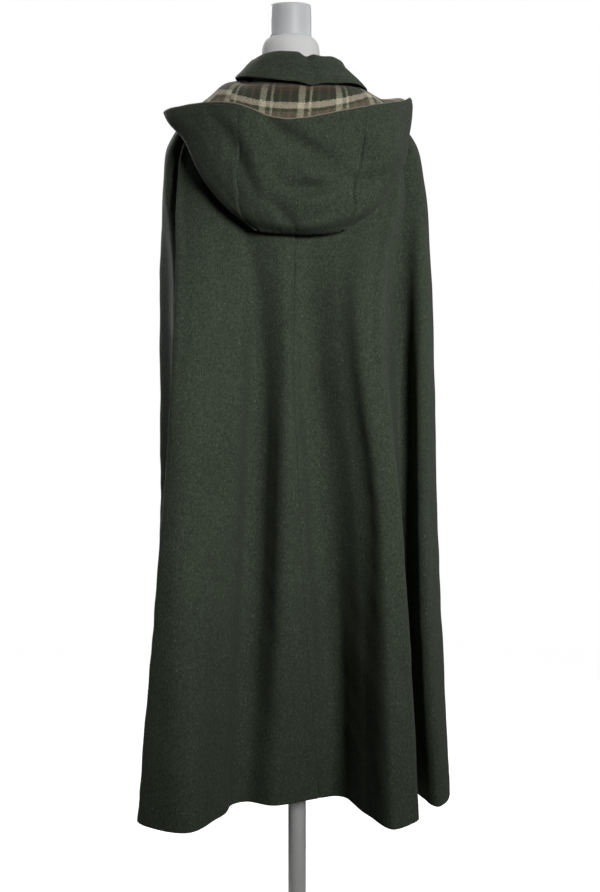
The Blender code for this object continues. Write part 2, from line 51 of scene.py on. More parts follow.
# Rings of the yoke and shoulders, from the neck seam to the upper arm.
RINGS = (
    # name, drop, z back, z side, z front, half left, half right, back, front, power
    ("neck", 0.000, 1.447, 1.453, 1.400, 0.074, 0.066, 0.068, 0.064, 2.0),
    ("yoke", 0.035, 1.433, 1.439, 1.384, 0.104, 0.091, 0.086, 0.084, 2.0),
    ("slope", 0.080, 1.403, 1.418, 1.352, 0.143, 0.134, 0.104, 0.106, 2.1),
    ("shoulder", 0.125, 1.366, 1.390, 1.315, 0.185, 0.168, 0.117, 0.124, 2.2),
    ("round", 0.170, 1.326, 1.350, 1.280, 0.211, 0.195, 0.126, 0.136, 2.3),
    ("arm", 0.220, 1.278, 1.292, 1.245, 0.218, 0.207, 0.132, 0.144, 2.4),
)
# Levels below the rings, where the fold lines give the plan.
BLADE = (0.320, 1.180)
HIP = (0.760, 0.740)
HEM = (1.210, 0.290)

# Crests and valleys of the cloth, from the centre front round by the wearer's right.
FOLD_LINES = (
    # name, turn, blade x, y, hip x, y, hem x, y
    ("centre_front", -180, 0.000, -0.160, 0.000, -0.177, 0.000, -0.191),
    ("placket_r", -171, -0.034, -0.158, -0.036, -0.170, -0.038, -0.180),
    ("front_dip_r", -160, -0.076, -0.149, -0.080, -0.145, -0.080, -0.140),
    ("front_flute_r", -148, -0.116, -0.149, -0.120, -0.176, -0.124, -0.205),
    ("front_crest_r", -138, -0.149, -0.137, -0.161, -0.168, -0.174, -0.197),
    ("arm_dip_r", -126, -0.179, -0.107, -0.174, -0.104, -0.170, -0.098),
    ("arm_flute_r", -113, -0.203, -0.078, -0.221, -0.098, -0.238, -0.118),
    ("arm_crest_r", -104, -0.212, -0.050, -0.233, -0.066, -0.256, -0.076),
    ("side_dip_r", -95, -0.214, -0.020, -0.208, -0.022, -0.206, -0.022),
    ("side_r", -85, -0.2165, 0.012, -0.231, 0.016, -0.251, 0.024),
    ("strip_r", -74, -0.203, 0.074, -0.206, 0.108, -0.226, 0.126),
    ("deep_dip_r", -62, -0.175, 0.082, -0.177, 0.060, -0.188, 0.048),
    ("wall_r", -53, -0.155, 0.112, -0.162, 0.128, -0.186, 0.124),
    ("crest_r", -43, -0.1305, 0.139, -0.1600, 0.189, -0.189, 0.196),
    ("flute_r", -34, -0.105, 0.146, -0.134, 0.200, -0.152, 0.234),
    ("rise_r", -22, -0.070, 0.140, -0.098, 0.158, -0.108, 0.158),
    ("back_dip_r", -10, -0.034, 0.135, -0.056, 0.120, -0.076, 0.088),
    ("centre_back", 0, 0.002, 0.139, -0.008, 0.150, -0.038, 0.088),
    ("back_ridge", 7, 0.024, 0.142, 0.018, 0.160, 0.030, 0.120),
    ("back_dip_l", 20, 0.068, 0.135, 0.060, 0.128, 0.086, 0.106),
    ("rise_l", 31, 0.106, 0.139, 0.106, 0.166, 0.122, 0.180),
    ("flute_l", 43, 0.146, 0.147, 0.163, 0.206, 0.172, 0.250),
    ("crest_l", 54, 0.1790, 0.139, 0.209, 0.194, 0.249, 0.205),
    ("wall_l", 64, 0.194, 0.104, 0.207, 0.134, 0.232, 0.122),
    ("deep_dip_l", 75, 0.207, 0.058, 0.196, 0.078, 0.190, 0.070),
    ("side_l", 89, 0.2225, 0.010, 0.227, 0.022, 0.246, 0.030),
    ("side_dip_l", 100, 0.219, -0.030, 0.208, -0.022, 0.204, -0.016),
    ("arm_flute_l", 111, 0.210, -0.066, 0.229, -0.072, 0.250, -0.080),
    ("arm_crest_l", 121, 0.196, -0.096, 0.214, -0.112, 0.232, -0.126),
    ("arm_dip_l", 134, 0.166, -0.122, 0.164, -0.112, 0.158, -0.100),
    ("front_flute_l", 145, 0.130, -0.147, 0.140, -0.176, 0.152, -0.208),
    ("front_crest_l", 154, 0.100, -0.152, 0.104, -0.182, 0.108, -0.216),
    ("front_dip_l", 163, 0.066, -0.149, 0.068, -0.149, 0.068, -0.152),
    ("placket_l", 172, 0.032, -0.158, 0.034, -0.171, 0.036, -0.182),
)
NAMES = [row[0] for row in FOLD_LINES]
COUNT = len(FOLD_LINES)
TURNS = np.array([row[1] for row in FOLD_LINES], float)

# Rows of the cape's grid, as drops from the neck seam.
CAPE_ROWS = (0.0, 0.035, 0.08, 0.125, 0.17, 0.22, 0.27, 0.33, 0.42, 0.53, 0.64, 0.76, 0.90, 1.05, 1.21)
COLUMN_STEP = 0.033   # aim for the columns' spacing at the hem

PANELS = (
    # name, first line, last line
    ("front_right", "centre_front", "side_r"),
    ("back_right", "side_r", "centre_back"),
    ("back_left", "centre_back", "side_l"),
    ("front_left", "side_l", "centre_front"),
)
OVERLAP_COLUMNS = 2   # columns of each front that pass the centre
OVERLAP_LIFT = 0.0034

# The hood's side folds, in the cape's own coordinates.
HOOD_SIDES = (
    # v, turn left, drop left, lift left, turn right, drop right, lift right
    (0.00, 16.0, 0.288, 0.020, -21.5, 0.290, 0.020),
    (0.18, 24.5, 0.260, 0.020, -31.5, 0.264, 0.020),
    (0.45, 35.0, 0.216, 0.020, -42.5, 0.208, 0.020),
    (0.75, 50.0, 0.163, 0.024, -61.0, 0.150, 0.023),
    (1.00, 75.5, 0.1360, 0.036, -82.5, 0.1115, 0.038),
)
# The hood's outer layer down its middle.
HOOD_MIDDLE = (
    # v, y, z
    (0.00, 0.164, 1.209),
    (0.12, 0.186, 1.218),
    (0.35, 0.196, 1.262),
    (0.70, 0.194, 1.325),
    (1.00, 0.188, 1.379),
)
# How far the rim has sunk from the horns' height towards the middle's.
HOOD_RIM = (
    # share across, sag
    (-1.00, 0.00), (-0.95, 0.14), (-0.88, 0.24), (-0.70, 0.40), (-0.43, 0.66), (-0.10, 0.97),
    (0.03, 1.00), (0.14, 0.86), (0.26, 0.52), (0.38, 0.24), (0.55, 0.05), (0.80, 0.00), (1.00, 0.00),
)
HOOD_NECK_END = 118.0   # turn where the neck seam ends and the side rims begin
HOOD_NECK_SHARE = 0.50  # part of the half-width that is sewn to the neck
HOOD_FAN = 4            # how late the inner layer spreads round the neck
HOOD_NECK_DROP = 0.008  # from the cape's neck edge to the hood's
HOOD_BOTTOM_ROLL = 0.004
HOOD_NECK_LIFT = 0.0009  # from the cape to the hood where it is sewn on
HOOD_LIFT = 0.005       # from the cape's back to the hood's inner layer
HOOD_ROLL = 0.005       # height of the roll that the layer makes behind the neck
HOOD_STAND = 0.007      # how much further off the layer stands over the shoulders
HORN_STAND = 0.020      # how far the layer is raised at the open right horn
HOOD_SEAMS = (
    # v, outer left, outer right, inner left, inner right, as shares of the half-width
    (0.00, 0.93, -0.92, 0.93, -0.92),
    (0.12, 0.90, -0.78, 0.80, -0.74),
    (0.35, 0.70, -0.56, 0.60, -0.56),
    (0.67, 0.54, -0.57, 0.44, -0.46),
    (1.00, 0.36, -0.61, 0.30, -0.36),
)

COLLAR_RINGS = (
    # name, z back, z side, z front, half left, half right, back, front, rise per metre of x
    ("foot", 1.444, 1.450, 1.398, 0.0692, 0.0612, 0.0630, 0.0588, 0.0),
    ("stand", 1.468, 1.471, 1.422, 0.0675, 0.0600, 0.0625, 0.0600, 0.0),
    ("inner_fold", 1.488, 1.483, 1.438, 0.0675, 0.0620, 0.0660, 0.0640, 0.0),
    ("top", 1.4955, 1.4895, 1.443, 0.0720, 0.0690, 0.0730, 0.0710, 0.0),
    ("outer_fold", 1.490, 1.484, 1.438, 0.0775, 0.0785, 0.0805, 0.0790, 0.02),
    ("fall", 1.467, 1.471, 1.416, 0.0890, 0.0975, 0.0920, 0.0950, 0.04),
    ("edge", 1.4460, 1.456, 1.392, 0.1005, 0.1150, 0.1020, 0.1090, 0.06),
)
COLLAR_END = 172.0

BUTTON_DROPS = (0.075, 0.225, 0.375, 0.525, 0.675)
BUTTON_RADIUS = 0.0125
BUTTON_THICK = 0.0045
BUTTON_REACH = 0.2   # how far the cloth's slope is read each side of a button, in fold lines

FORM_ROWS = slice(1, 4)   # rows of the cape's grid that lie on the form's shoulders
FORM_EASE = 0.005         # how much further the form is from the cloth at front and back
FORM_CLEAR = 0.0012       # from the cape's inside to the form
FORM_COLUMNS = 96
FORM_FINE_ROWS = 70
NECK_RINGS = (
    # name, z back, z side, z front, half left, half right, back, front
    ("neck_root", 1.436, 1.436, 1.436, 0.0575, 0.0375, 0.0475, 0.0475),
    ("neck_base", 1.428, 1.433, 1.390, 0.0590, 0.0530, 0.0530, 0.0510),
)
TORSO_RINGS = (
    # name, z back, z side, z front, half left, half right, back, front
    ("armhole", 1.307, 1.325, 1.262, 0.1860, 0.1720, 0.1080, 0.1180),
    ("bust", 1.215, 1.215, 1.215, 0.1740, 0.1660, 0.1070, 0.1240),
    ("ribs", 1.120, 1.120, 1.120, 0.1500, 0.1480, 0.1000, 0.1120),
    ("waist", 1.030, 1.030, 1.030, 0.1280, 0.1280, 0.0880, 0.0940),
    ("belly", 0.950, 0.950, 0.950, 0.1460, 0.1460, 0.0980, 0.1020),
    ("hip", 0.860, 0.860, 0.860, 0.1580, 0.1580, 0.1040, 0.1060),
    ("seat", 0.800, 0.800, 0.800, 0.1520, 0.1520, 0.1000, 0.1020),
)
# Turned parts of the form: radius and height from the top down, about their own axis.
NECK_PROFILE = ((0.0345, 1.527), (0.0420, 1.521), (0.0465, 1.510), (0.0475, 1.490), (0.0475, 1.4363))
BLOCK_PROFILE = ((0.0310, 1.5780), (0.0330, 1.5760), (0.0335, 1.5273))
POLE_PROFILE = ((0.0150, 0.7997), (0.0150, 0.0203))
BASE_PROFILE = ((0.0600, 0.0200), (0.1500, 0.0180), (0.1720, 0.0120), (0.1750, 0.0060), (0.1750, 0.0))
NECK_X = 0.010

# Fine cloth.
FINE_COLUMN = 0.0046    # aim for the columns' spacing at the hem
FINE_ROWS = ((0.0, 0.30, 52), (0.30, 1.17, 108), (1.17, 1.21, 10))
RIPPLE = 0.0011
HEM_LINE = 1.172
HEM_DIMPLE = 0.0005
SEAM_DIP = 0.0017
SEAM_WIDTH = 0.0024
SEAM_GAP = 0.00002
CRISP_EDGE = 0.0002     # rounding of an edge that is sewn to its neighbour
ROUND_EDGE = 0.4        # rounding of a free edge, as a share of the wall
STITCH_DIP = 0.0005
STITCH_EDGE = 0.007
STITCH_PITCH = 0.0046
STITCH_LENGTH = 0.0036
STITCH_RADIUS = 0.00045
STITCH_SHAPE = (
    # share of the length, height over the cloth
    (0.0, -0.0006), (0.2, 0.0002), (0.5, 0.0004), (0.8, 0.0002), (1.0, -0.0006),
)
STITCH_SIDES = 6
STITCH_GROOVE = 0.0016   # half-width of the dip along a line of stitches
TUBE_SIDES = 8
ALLOWANCE = 0.014
ALLOWANCE_WALL = 0.0012
HOOD_FINE = 34
HOOD_SPAN = HOOD_FINE - 1
HOOD_RIPPLE = 0.0007
HOOD_TURN_DOWN = 0.8    # how far the lower edge's normals are turned down
HOOD_ROWS = ((1.0, 0.9, 9), (0.9, 0.12, 44), (0.12, 0.0, 10))
HOOD_HALF = 0.16        # half the hood's width, for its creases
HOOD_TALL = 0.19
COLLAR_FINE_ROWS = 44
COLLAR_FINE_COLUMNS = 260
COLLAR_RIPPLE = 0.0006
RIM_RADIUS = 0.0012

CREASES = (
    # name, turn at the top, turn below, top drop, low drop, width, height
    ("gap_shoulder_r", -71.5, -71.5, 0.160, 1.210, 0.012, 0.0070),
    ("gap_dip_r", -61.0, -63.0, 0.110, 1.210, 0.012, -0.0130),
    ("gap_top_r", -59.0, -62.0, 0.030, 0.700, 0.013, -0.0220),
    ("crest_edge_r", -44.0, -43.5, 0.140, 1.210, 0.010, 0.0040),
    ("crest_top_r", -45.0, -44.5, 0.080, 0.640, 0.009, 0.0050),
    ("valley_r", -5.0, -7.0, 0.250, 1.210, 0.020, -0.0140),
    ("rise_soft_r", -27.0, -26.0, 0.300, 1.000, 0.022, -0.0050),
    ("valley_l", 21.5, 24.0, 0.230, 1.210, 0.019, -0.0150),
    ("ridge_mid", 9.0, 9.5, 0.280, 1.210, 0.016, 0.0040),
    ("panel_soft_l", 38.0, 35.0, 0.300, 0.900, 0.022, -0.0030),
    ("panel_low_l", 47.0, 46.0, 0.550, 1.210, 0.020, 0.0035),
    ("crest_edge_l", 55.5, 54.5, 0.090, 0.700, 0.008, 0.0065),
    ("strip_dip_l", 63.5, 60.0, 0.060, 0.640, 0.011, -0.0170),
    ("front_soft_r", -152.0, -150.0, 0.260, 1.210, 0.018, 0.0045),
    ("front_dent_r", -165.0, -166.0, 0.220, 0.800, 0.015, -0.0040),
    ("arm_soft_r", -118.0, -119.0, 0.240, 1.000, 0.018, -0.0050),
    ("arm_low_r", -99.0, -100.0, 0.500, 1.210, 0.014, 0.0040),
    ("arm_soft_l", 105.0, 105.0, 0.260, 0.980, 0.015, 0.0044),
    ("arm_low_l", 127.0, 128.0, 0.420, 1.210, 0.018, -0.0050),
    ("front_soft_l", 149.0, 150.0, 0.300, 1.210, 0.014, -0.0042),
    ("front_dent_l", 167.0, 168.0, 0.250, 0.900, 0.013, -0.0034),
)
HOOD_CREASES = (
    # name, share across and up at each end, width, height
    ("long_trough", 0.20, 0.99, -0.38, 0.54, 0.016, -0.0110),
    ("trough_bank", 0.02, 0.99, -0.30, 0.72, 0.013, 0.0050),
    ("crumple_middle", 0.12, 0.42, -0.29, 0.42, 0.010, -0.0110),
    ("crumple_above", 0.04, 0.54, -0.24, 0.52, 0.010, 0.0050),
    ("crumple_under", 0.10, 0.30, -0.26, 0.31, 0.011, 0.0060),
    ("crumple_right", -0.43, 0.47, -0.79, 0.43, 0.010, -0.0100),
    ("right_swell", -0.62, 0.72, -0.95, 0.52, 0.024, 0.0080),
    ("right_dip", -0.50, 0.86, -0.60, 0.54, 0.012, -0.0065),
    ("left_soft", 0.62, 0.86, 0.52, 0.42, 0.016, -0.0065),
    ("left_ridge", 0.46, 0.88, 0.38, 0.40, 0.014, 0.0055),
    ("low_left", 0.36, 0.30, 0.12, 0.12, 0.012, -0.0065),
    ("low_right", -0.14, 0.18, -0.44, 0.24, 0.012, -0.0050),
)
COLLAR_DENTS = (
    # name, turn, width, first and last share down, height, fall
    ("notch", -12.0, 7.0, 0.20, 0.95, -0.0030, 0.0040),
    ("right_low", -38.0, 22.0, 0.15, 0.75, 0.0, 0.0050),
    ("right_droop", -94.0, 26.0, 0.60, 1.0, 0.0, 0.0095),
    ("left_swell", 34.0, 16.0, 0.45, 1.0, 0.0022, 0.0),
    ("right_swell", -52.0, 14.0, 0.45, 1.0, 0.0024, 0.0),
)

PLAID_REPEAT = 0.060
WARP_SHIFT = 0.187
TWILL_PITCH = 0.0016
STRIPE_FUZZ = 0.0110
NAP_SCALE = 420.0
CREAM = (0.400, 0.385, 0.270)
PALE = (0.720, 0.640, 0.480)
GREEN = (0.030, 0.038, 0.020)
OLIVE = (0.085, 0.085, 0.044)
BROWN = (0.100, 0.066, 0.040)
RUST = (0.150, 0.075, 0.048)
SAND = (0.220, 0.170, 0.115)
WARP_STRIPES = (
    (0.00, CREAM), (0.17, GREEN), (0.34, BROWN), (0.42, GREEN), (0.60, OLIVE), (0.68, GREEN),
    (0.82, CREAM), (0.88, GREEN),
)
WEFT_STRIPES = (
    (0.00, PALE), (0.125, OLIVE), (0.225, SAND), (0.425, RUST), (0.567, GREEN), (0.93, PALE),
)
LODEN_DARK = (0.018, 0.027, 0.015)
LODEN_LIGHT = (0.054, 0.070, 0.045)
HAIR = (0.135, 0.145, 0.105)
HORN_STOPS = ((0.30, (0.020, 0.011, 0.007)), (0.55, (0.060, 0.032, 0.018)), (0.75, (0.150, 0.090, 0.052)))

# A button's section from the centre out and under, as shares of its radius and thickness.
BUTTON_FINE = (
    (0.30, 0.72), (0.55, 0.72), (0.66, 0.86), (0.80, 1.00),
    (0.93, 0.95), (1.00, 0.60), (0.94, 0.12), (0.80, 0.0),
)
HOLE_OFFSET = 0.0021
HOLE_RADIUS = 0.0010
THREAD_RADIUS = 0.0006

AMBIENT = 0.008
FLOOR_GLOW = 0.72
FLOOR_BOUNCE = 0.10
FLOOR_RADIUS = 4.5
FLOOR_FADE = (0.9, 2.6)   # from the paper's full colour to clear, as distances from the stand
CAMERA_PLACE = (-0.005, 2.6, 1.137)
CAMERA_TILT = 84.0
CAMERA_LENS = 94.56
LIGHTS = (
    # name, place, target, size, power, spread
    ("key", (-1.15, 2.60, 1.70), (0.0, 0.0, 0.98), 0.70, 5.6, 50.0),
    ("fill", (-2.2, 1.9, 1.6), (-0.2, 0.0, 1.0), 1.0, 1.0, 120.0),
    ("side_left", (2.9, -1.3, 1.9), (0.0, 0.0, 1.0), 1.4, 7.0, 100.0),
    ("side_right", (-2.7, -1.7, 1.9), (0.0, 0.0, 1.0), 1.4, 6.0, 100.0),
    ("front_soft", (1.4, -2.8, 2.3), (0.0, 0.0, 1.0), 1.2, 22.0, 100.0),
    ("floor_wash", (0.0, -0.6, 3.8), (0.0, -0.6, 0.0), 2.4, 14.0, 120.0),
)


def smooth(low, high, value):
    """Ease from 0 at low to 1 at high."""
    t = np.clip((value - low) / (high - low), 0.0, 1.0)
    return t * t * (3.0 - 2.0 * t)


def unit(vectors):
    """The vectors of an array at length 1."""
    return vectors / np.linalg.norm(vectors, axis=-1, keepdims=True)


def below(knots, at):
    """Index of the knot under each place."""
    return np.clip(np.searchsorted(knots, at, side="right") - 1, 0, len(knots) - 2)


def eased(low, high, start, end, step, t):
    """Values at share t between two knots, from their values and slopes."""
    rise = high - low
    bend = start * step - rise
    counter = rise - end * step
    return low + t * rise + t * (1 - t) * ((1 - t) * bend + t * counter)


def bell(distance, width):
    """A bell curve: 1 at no distance, and near nothing from two widths on."""
    return np.exp(-(distance / width) ** 2)


def spline(knots, values, at):
    """A smooth curve through the values at the knots, read at the given places."""
    knots = np.asarray(knots, float)
    values = np.asarray(values, float)
    at = np.asarray(at, float)
    slopes = np.gradient(values, knots, axis=0)
    i = below(knots, at)
    shape = (-1,) + (1,) * (values.ndim - 1)
    step = (knots[i + 1] - knots[i]).reshape(shape)
    t = (at - knots[i]).reshape(shape) / step
    return eased(values[i], values[i + 1], slopes[i], slopes[i + 1], step, t)


def looked_up(table, at):
    """The rest of a table's rows, read smoothly by their first column."""
    rows = np.array(table)
    return spline(rows[:, 0], rows[:, 1:], at.ravel()).reshape(at.shape + (-1,))


def stepped(runs):
    """Rows in runs of even steps: start, end and number, of which only the last holds its end."""
    rows = [np.linspace(*run, endpoint=False) for run in runs[:-1]]
    return np.concatenate(rows + [np.linspace(*runs[-1])])


def ring_points(turns, z_back, z_side, z_front, left, right, back, front, power=2.0):
    """A level ring round the body; its height eases from back to side to front."""
    angle = np.radians(turns)
    across, along = np.sin(angle), np.cos(angle)
    x = np.where(across > 0, left, right) * np.sign(across) * np.abs(across) ** (2 / power)
    y = np.where(along > 0, back, front) * np.sign(along) * np.abs(along) ** (2 / power)
    end = np.where(along > 0, z_back, z_front)
    z = z_side + (end - z_side) * along ** 2
    return np.stack([x, y, z], axis=-1)


def control_points():
    """Levels by fold lines: the net that the cape's surface passes through."""
    levels = [ring_points(TURNS, *row[2:]) for row in RINGS]
    for column, (_, height) in zip((2, 4, 6), (BLADE, HIP, HEM)):
        plan = np.array([row[column:column + 2] for row in FOLD_LINES])
        levels.append(np.column_stack([plan, np.full(COUNT, height)]))
    drops = [row[1] for row in RINGS] + [BLADE[0], HIP[0], HEM[0]]
    return np.array(drops), np.array(levels)


DROPS, NET = control_points()
WRAP = 3
HEM_SPANS = np.linalg.norm(np.roll(NET[-1], -1, axis=0) - NET[-1], axis=1)
SPANS = np.linalg.norm(np.roll(NET[5:], -1, axis=1) - NET[5:], axis=2).mean(axis=0)


def around(index):
    """Distance round the body of a place given in fold lines, from the centre front."""
    whole = np.floor(index).astype(int)
    starts = np.concatenate([[0.0], np.cumsum(SPANS)])
    laps, line = np.divmod(whole, COUNT)
    return laps * starts[-1] + starts[line] + (index - whole) * SPANS[line]


def cape_levels(drops):
    """The net's lines at the given drops, lapped past the centre front, and their distances round."""
    level = spline(DROPS, NET, drops)
    wrapped = np.concatenate([level[:, -WRAP:], level, level[:, :WRAP + 1]], axis=1)
    return around(np.arange(-WRAP, COUNT + WRAP + 1)), wrapped


def cape_grid(columns, rows):
    """The cape's outer surface at the given fold-line places and drops."""
    knots, wrapped = cape_levels(rows)
    grid = spline(knots, wrapped.swapaxes(0, 1), around(np.asarray(columns, float)))
    return grid.swapaxes(0, 1)


def cape_at(places, drops):
    """Single points of the cape's outer surface, by fold-line place and drop."""
    knots, wrapped = cape_levels(drops)
    slopes = np.gradient(wrapped, knots, axis=1)
    at = around(places)
    i = below(knots, at)
    row = np.arange(len(at))
    step = (knots[i + 1] - knots[i])[:, None]
    t = (at - knots[i])[:, None] / step
    return eased(wrapped[row, i], wrapped[row, i + 1], slopes[row, i], slopes[row, i + 1], step, t)


def cape_points(turn, drop, lift):
    """Points on the cape, found by turn and drop and moved out by a lift."""
    places = np.interp(turn, np.append(TURNS, 180.0), np.arange(COUNT + 1.0)).ravel()
    low, high = np.maximum(drop.ravel() - 0.004, 0.0), drop.ravel() + 0.004
    a, b = cape_at(places - 0.05, low), cape_at(places + 0.05, low)
    c, d = cape_at(places - 0.05, high), cape_at(places + 0.05, high)
    normal = unit(np.cross(b - a + d - c, c - a + d - b))
    found = (a + b + c + d) / 4 + lift.ravel()[:, None] * normal
    return found.reshape(turn.shape + (3,))


def outward(grid):
    """Unit normals of a grid whose rows run down and whose columns run from right to left."""
    return unit(np.cross(np.gradient(grid, axis=1), np.gradient(grid, axis=0)))


def spaced_places(first, last, step, least):
    """Places a step apart at the hem, at least so many for each span between fold lines."""
    places = []
    for line in range(first, last):
        parts = max(least, round(HEM_SPANS[line % COUNT] / step))
        places += [line + k / parts for k in range(parts)]
    return places


def column_places():
    """Places of the solids' columns, once round."""
    return np.array(spaced_places(0, COUNT, COLUMN_STEP, 2) + [COUNT])


def side_curve(shift):
    """Points of one of the hood's side folds, from the table's three columns at a shift."""
    return cape_points(*looked_up(HOOD_SIDES, SIDE_STEPS)[:, shift:shift + 3].T)


SIDE_STEPS = np.linspace(0.0, 1.0, 17)
LEFT, RIGHT = 0, 3   # where each side's columns begin in the side folds' table, after v
SIDE_CURVES = {side: side_curve(side) for side in (LEFT, RIGHT)}


def hood_edge(p, v):
    """Straight from side fold to side fold, at share p across and share v up."""
    curves = [spline(SIDE_STEPS, curve, v.ravel()) for curve in SIDE_CURVES.values()]
    left, right = np.reshape(curves, (2, *v.shape, 3))
    return right + (left - right) * ((1 + p) / 2)[..., None]


def hood_outer(p, v):
    """The hood's outer layer at share p across and share v up."""
    edge = hood_edge(p, v)
    middle = looked_up(HOOD_MIDDLE, v)
    crown = (1 - np.abs(p) ** 2.2) ** 0.5
    low_sag = 1 - np.abs(p) ** 1.7
    sag = low_sag + (looked_up(HOOD_RIM, p)[..., 0] - low_sag) * smooth(0.25, 1.0, v)
    y = edge[..., 1] + (middle[..., 0] - edge[..., 1]) * crown
    z = edge[..., 2] + (middle[..., 1] - edge[..., 2]) * sag
    return np.stack([edge[..., 0], y, z], axis=-1)


def side_value(v, column):
    """A column of the side folds' table at share v."""
    return np.take_along_axis(looked_up(HOOD_SIDES, v), column[..., None], -1)[..., 0]


def hood_inner(p, v):
    """The hood's inner layer, which lies on the cape's back and is sewn to the neck."""
    share = np.abs(p)
    column = np.where(p >= 0, LEFT, RIGHT)
    horn_turn, horn_drop = side_value(np.ones_like(v), column), side_value(np.ones_like(v), column + 1)
    low_drop = side_value(np.zeros_like(v), column + 1)
    fan = v ** HOOD_FAN
    rim = smooth(HOOD_NECK_SHARE, 1.0, share)
    neck_turn = np.sign(p) * np.minimum(share / HOOD_NECK_SHARE, 1.0) * HOOD_NECK_END
    top_turn = neck_turn + (horn_turn - neck_turn) * rim
    turn = side_value(v, column) * share + (top_turn - horn_turn * share) * fan
    middle = low_drop + (HOOD_NECK_DROP - low_drop) * v
    drop = middle + (side_value(v, column + 1) - middle) * share ** 2
    drop += (horn_drop - HOOD_NECK_DROP) * (rim - share ** 2) * fan
    sewn = smooth(0.80, 1.0, v) * (1 - smooth(0.25, HOOD_NECK_SHARE, share))
    hand = smooth(-0.5, 0.3, p)
    settled = 1 - 0.75 * smooth(0.45, 0.65, share) * smooth(0.75, 1.0, v)
    lift = HOOD_LIFT + HOOD_STAND * smooth(0.10, 0.60, share) * v * (0.6 + 0.4 * hand) * settled
    lift += HOOD_ROLL * bell(v - 0.90, 0.12) * hand * (1 - smooth(0.4, 0.8, p))
    lift += HORN_STAND * bell(p + 0.92, 0.08) * smooth(0.6, 1.0, v)
    flat = cape_points(turn, drop, lift + (HOOD_NECK_LIFT - lift) * sewn)
    edge = hood_edge(p, v)
    return edge + (flat - edge) * ((1 - share ** 6) ** 0.5)[..., None]


def layer_shares(v, columns, left_seam, right_seam):
    """Shares across of one layer: between its seams, to the left fold and to the right fold."""
    table = np.array(HOOD_SEAMS)
    left = np.interp(v, table[:, 0], table[:, left_seam])
    right = np.interp(v, table[:, 0], table[:, right_seam])
    share = np.linspace(0.0, 1.0, columns)
    across = right + (left - right) * share
    to_left = np.sin(np.arcsin(left) + (np.pi / 2 - np.arcsin(left)) * share)
    to_right = np.sin(np.arcsin(right) + (-np.pi / 2 - np.arcsin(right)) * share)
    return across, to_left, to_right


def hood_loop(rows, columns):
    """The hood as rows of closed loops: its points, and their shares across and up."""
    v = np.repeat(rows[:, None], columns, axis=1)
    over, over_left, over_right = layer_shares(v, columns, 1, 2)
    under, under_left, under_right = layer_shares(v, columns, 3, 4)
    spans = (
        (hood_outer, over),
        (hood_outer, over_left),
        (hood_inner, under_left[:, ::-1]),
        (hood_inner, under[:, ::-1]),
        (hood_inner, under_right),
        (hood_outer, over_right[:, ::-1]),
    )
    grid = np.concatenate([layer(share, v)[:, :-1] for layer, share in spans], axis=1)
    shares = np.concatenate([share[:, :-1] for _, share in spans], axis=1)
    return grid, shares, np.broadcast_to(rows[:, None], shares.shape)


def loop_normals(grid):
    """Outward normals of rows of closed loops, turned down at the bottom row."""
    ends = np.concatenate([grid[:, -1:], grid, grid[:, :1]], axis=1)
    normal = outward(ends)[:, 1:-1]
    normal[-1, :, 2] -= HOOD_TURN_DOWN
    return unit(normal)


def cape_places():
    """Fine column places, from the right front's lapped edge to the left front's."""
    coarse = column_places()
    first, last = coarse[-1 - OVERLAP_COLUMNS] - COUNT, coarse[OVERLAP_COLUMNS] + COUNT
    inside = [p for p in spaced_places(-1, COUNT + 1, FINE_COLUMN, 4) if first < p < last]
    return np.array([first] + inside + [last])


def turn_of(place):
    """Turn of a place given in fold lines."""
    lap, rest = np.divmod(place, COUNT)
    return np.interp(rest, np.arange(COUNT + 1.0), np.append(TURNS, 180.0)) + 360.0 * lap


def crease_field(turns, drops, arcs):
    """Height of the listed creases over the cape's grid."""
    height = np.zeros(arcs.shape)
    for _, top_turn, low_turn, top, low, width, depth in CREASES:
        share = np.clip((drops - top) / (low - top), 0.0, 1.0)
        at = top_turn + (low_turn - top_turn) * share
        centre = np.array([np.interp(a, turns, row) for a, row in zip(at, arcs)])
        run = low - top
        window = smooth(top - 0.1 * run, top + 0.4 * run, drops)
        if low < CAPE_ROWS[-1]:
            window = window * (1.0 - smooth(low - 0.5 * run, low, drops))
        window = window * (1.0 - 0.6 * smooth(0.95, CAPE_ROWS[-1], drops))
        reach = width * (0.8 + 0.4 * share)
        height += depth * window[:, None] * bell(arcs - centre[:, None], reach[:, None])
    return height


def ripple_field(arcs, drops):
    """Low, irregular waviness of heavy wool."""
    s, d = arcs, drops[:, None] * np.ones_like(arcs)
    waves = np.sin(31.0 * s + 9.0 * d + 1.7 * np.sin(13.0 * d)) * 0.45
    waves += np.sin(57.0 * s - 21.0 * d + 2.1 * np.sin(7.0 * s + 4.0 * d)) * 0.30
    waves += np.sin(96.0 * s + 37.0 * d + 1.3 * np.sin(29.0 * d - 11.0 * s)) * 0.18
    waves += np.sin(17.0 * s + 71.0 * d + 2.4 * np.sin(23.0 * s)) * 0.16
    return RIPPLE * waves


def run_lengths(grid, axis):
    """Distances along a grid's rows or columns, from its first point."""
    steps = np.linalg.norm(np.diff(grid, axis=axis), axis=2)
    return np.insert(np.cumsum(steps, axis=axis), 0, 0.0, axis=axis)


def ease_edges(grid, reach, sewn):
    """Draw a grid's edges in, by only a little at the sewn sides."""
    sides = ((grid[0], grid[1], False), (grid[-1], grid[-2], False))
    sides += ((grid[:, 0], grid[:, 1], sewn[0]), (grid[:, -1], grid[:, -2], sewn[1]))
    for edge, near, crisp in sides:
        step = near - edge
        length = np.maximum(np.linalg.norm(step, axis=1, keepdims=True), 1e-6)
        edge += step / length * np.minimum(CRISP_EDGE if crisp else reach, length * 0.45)


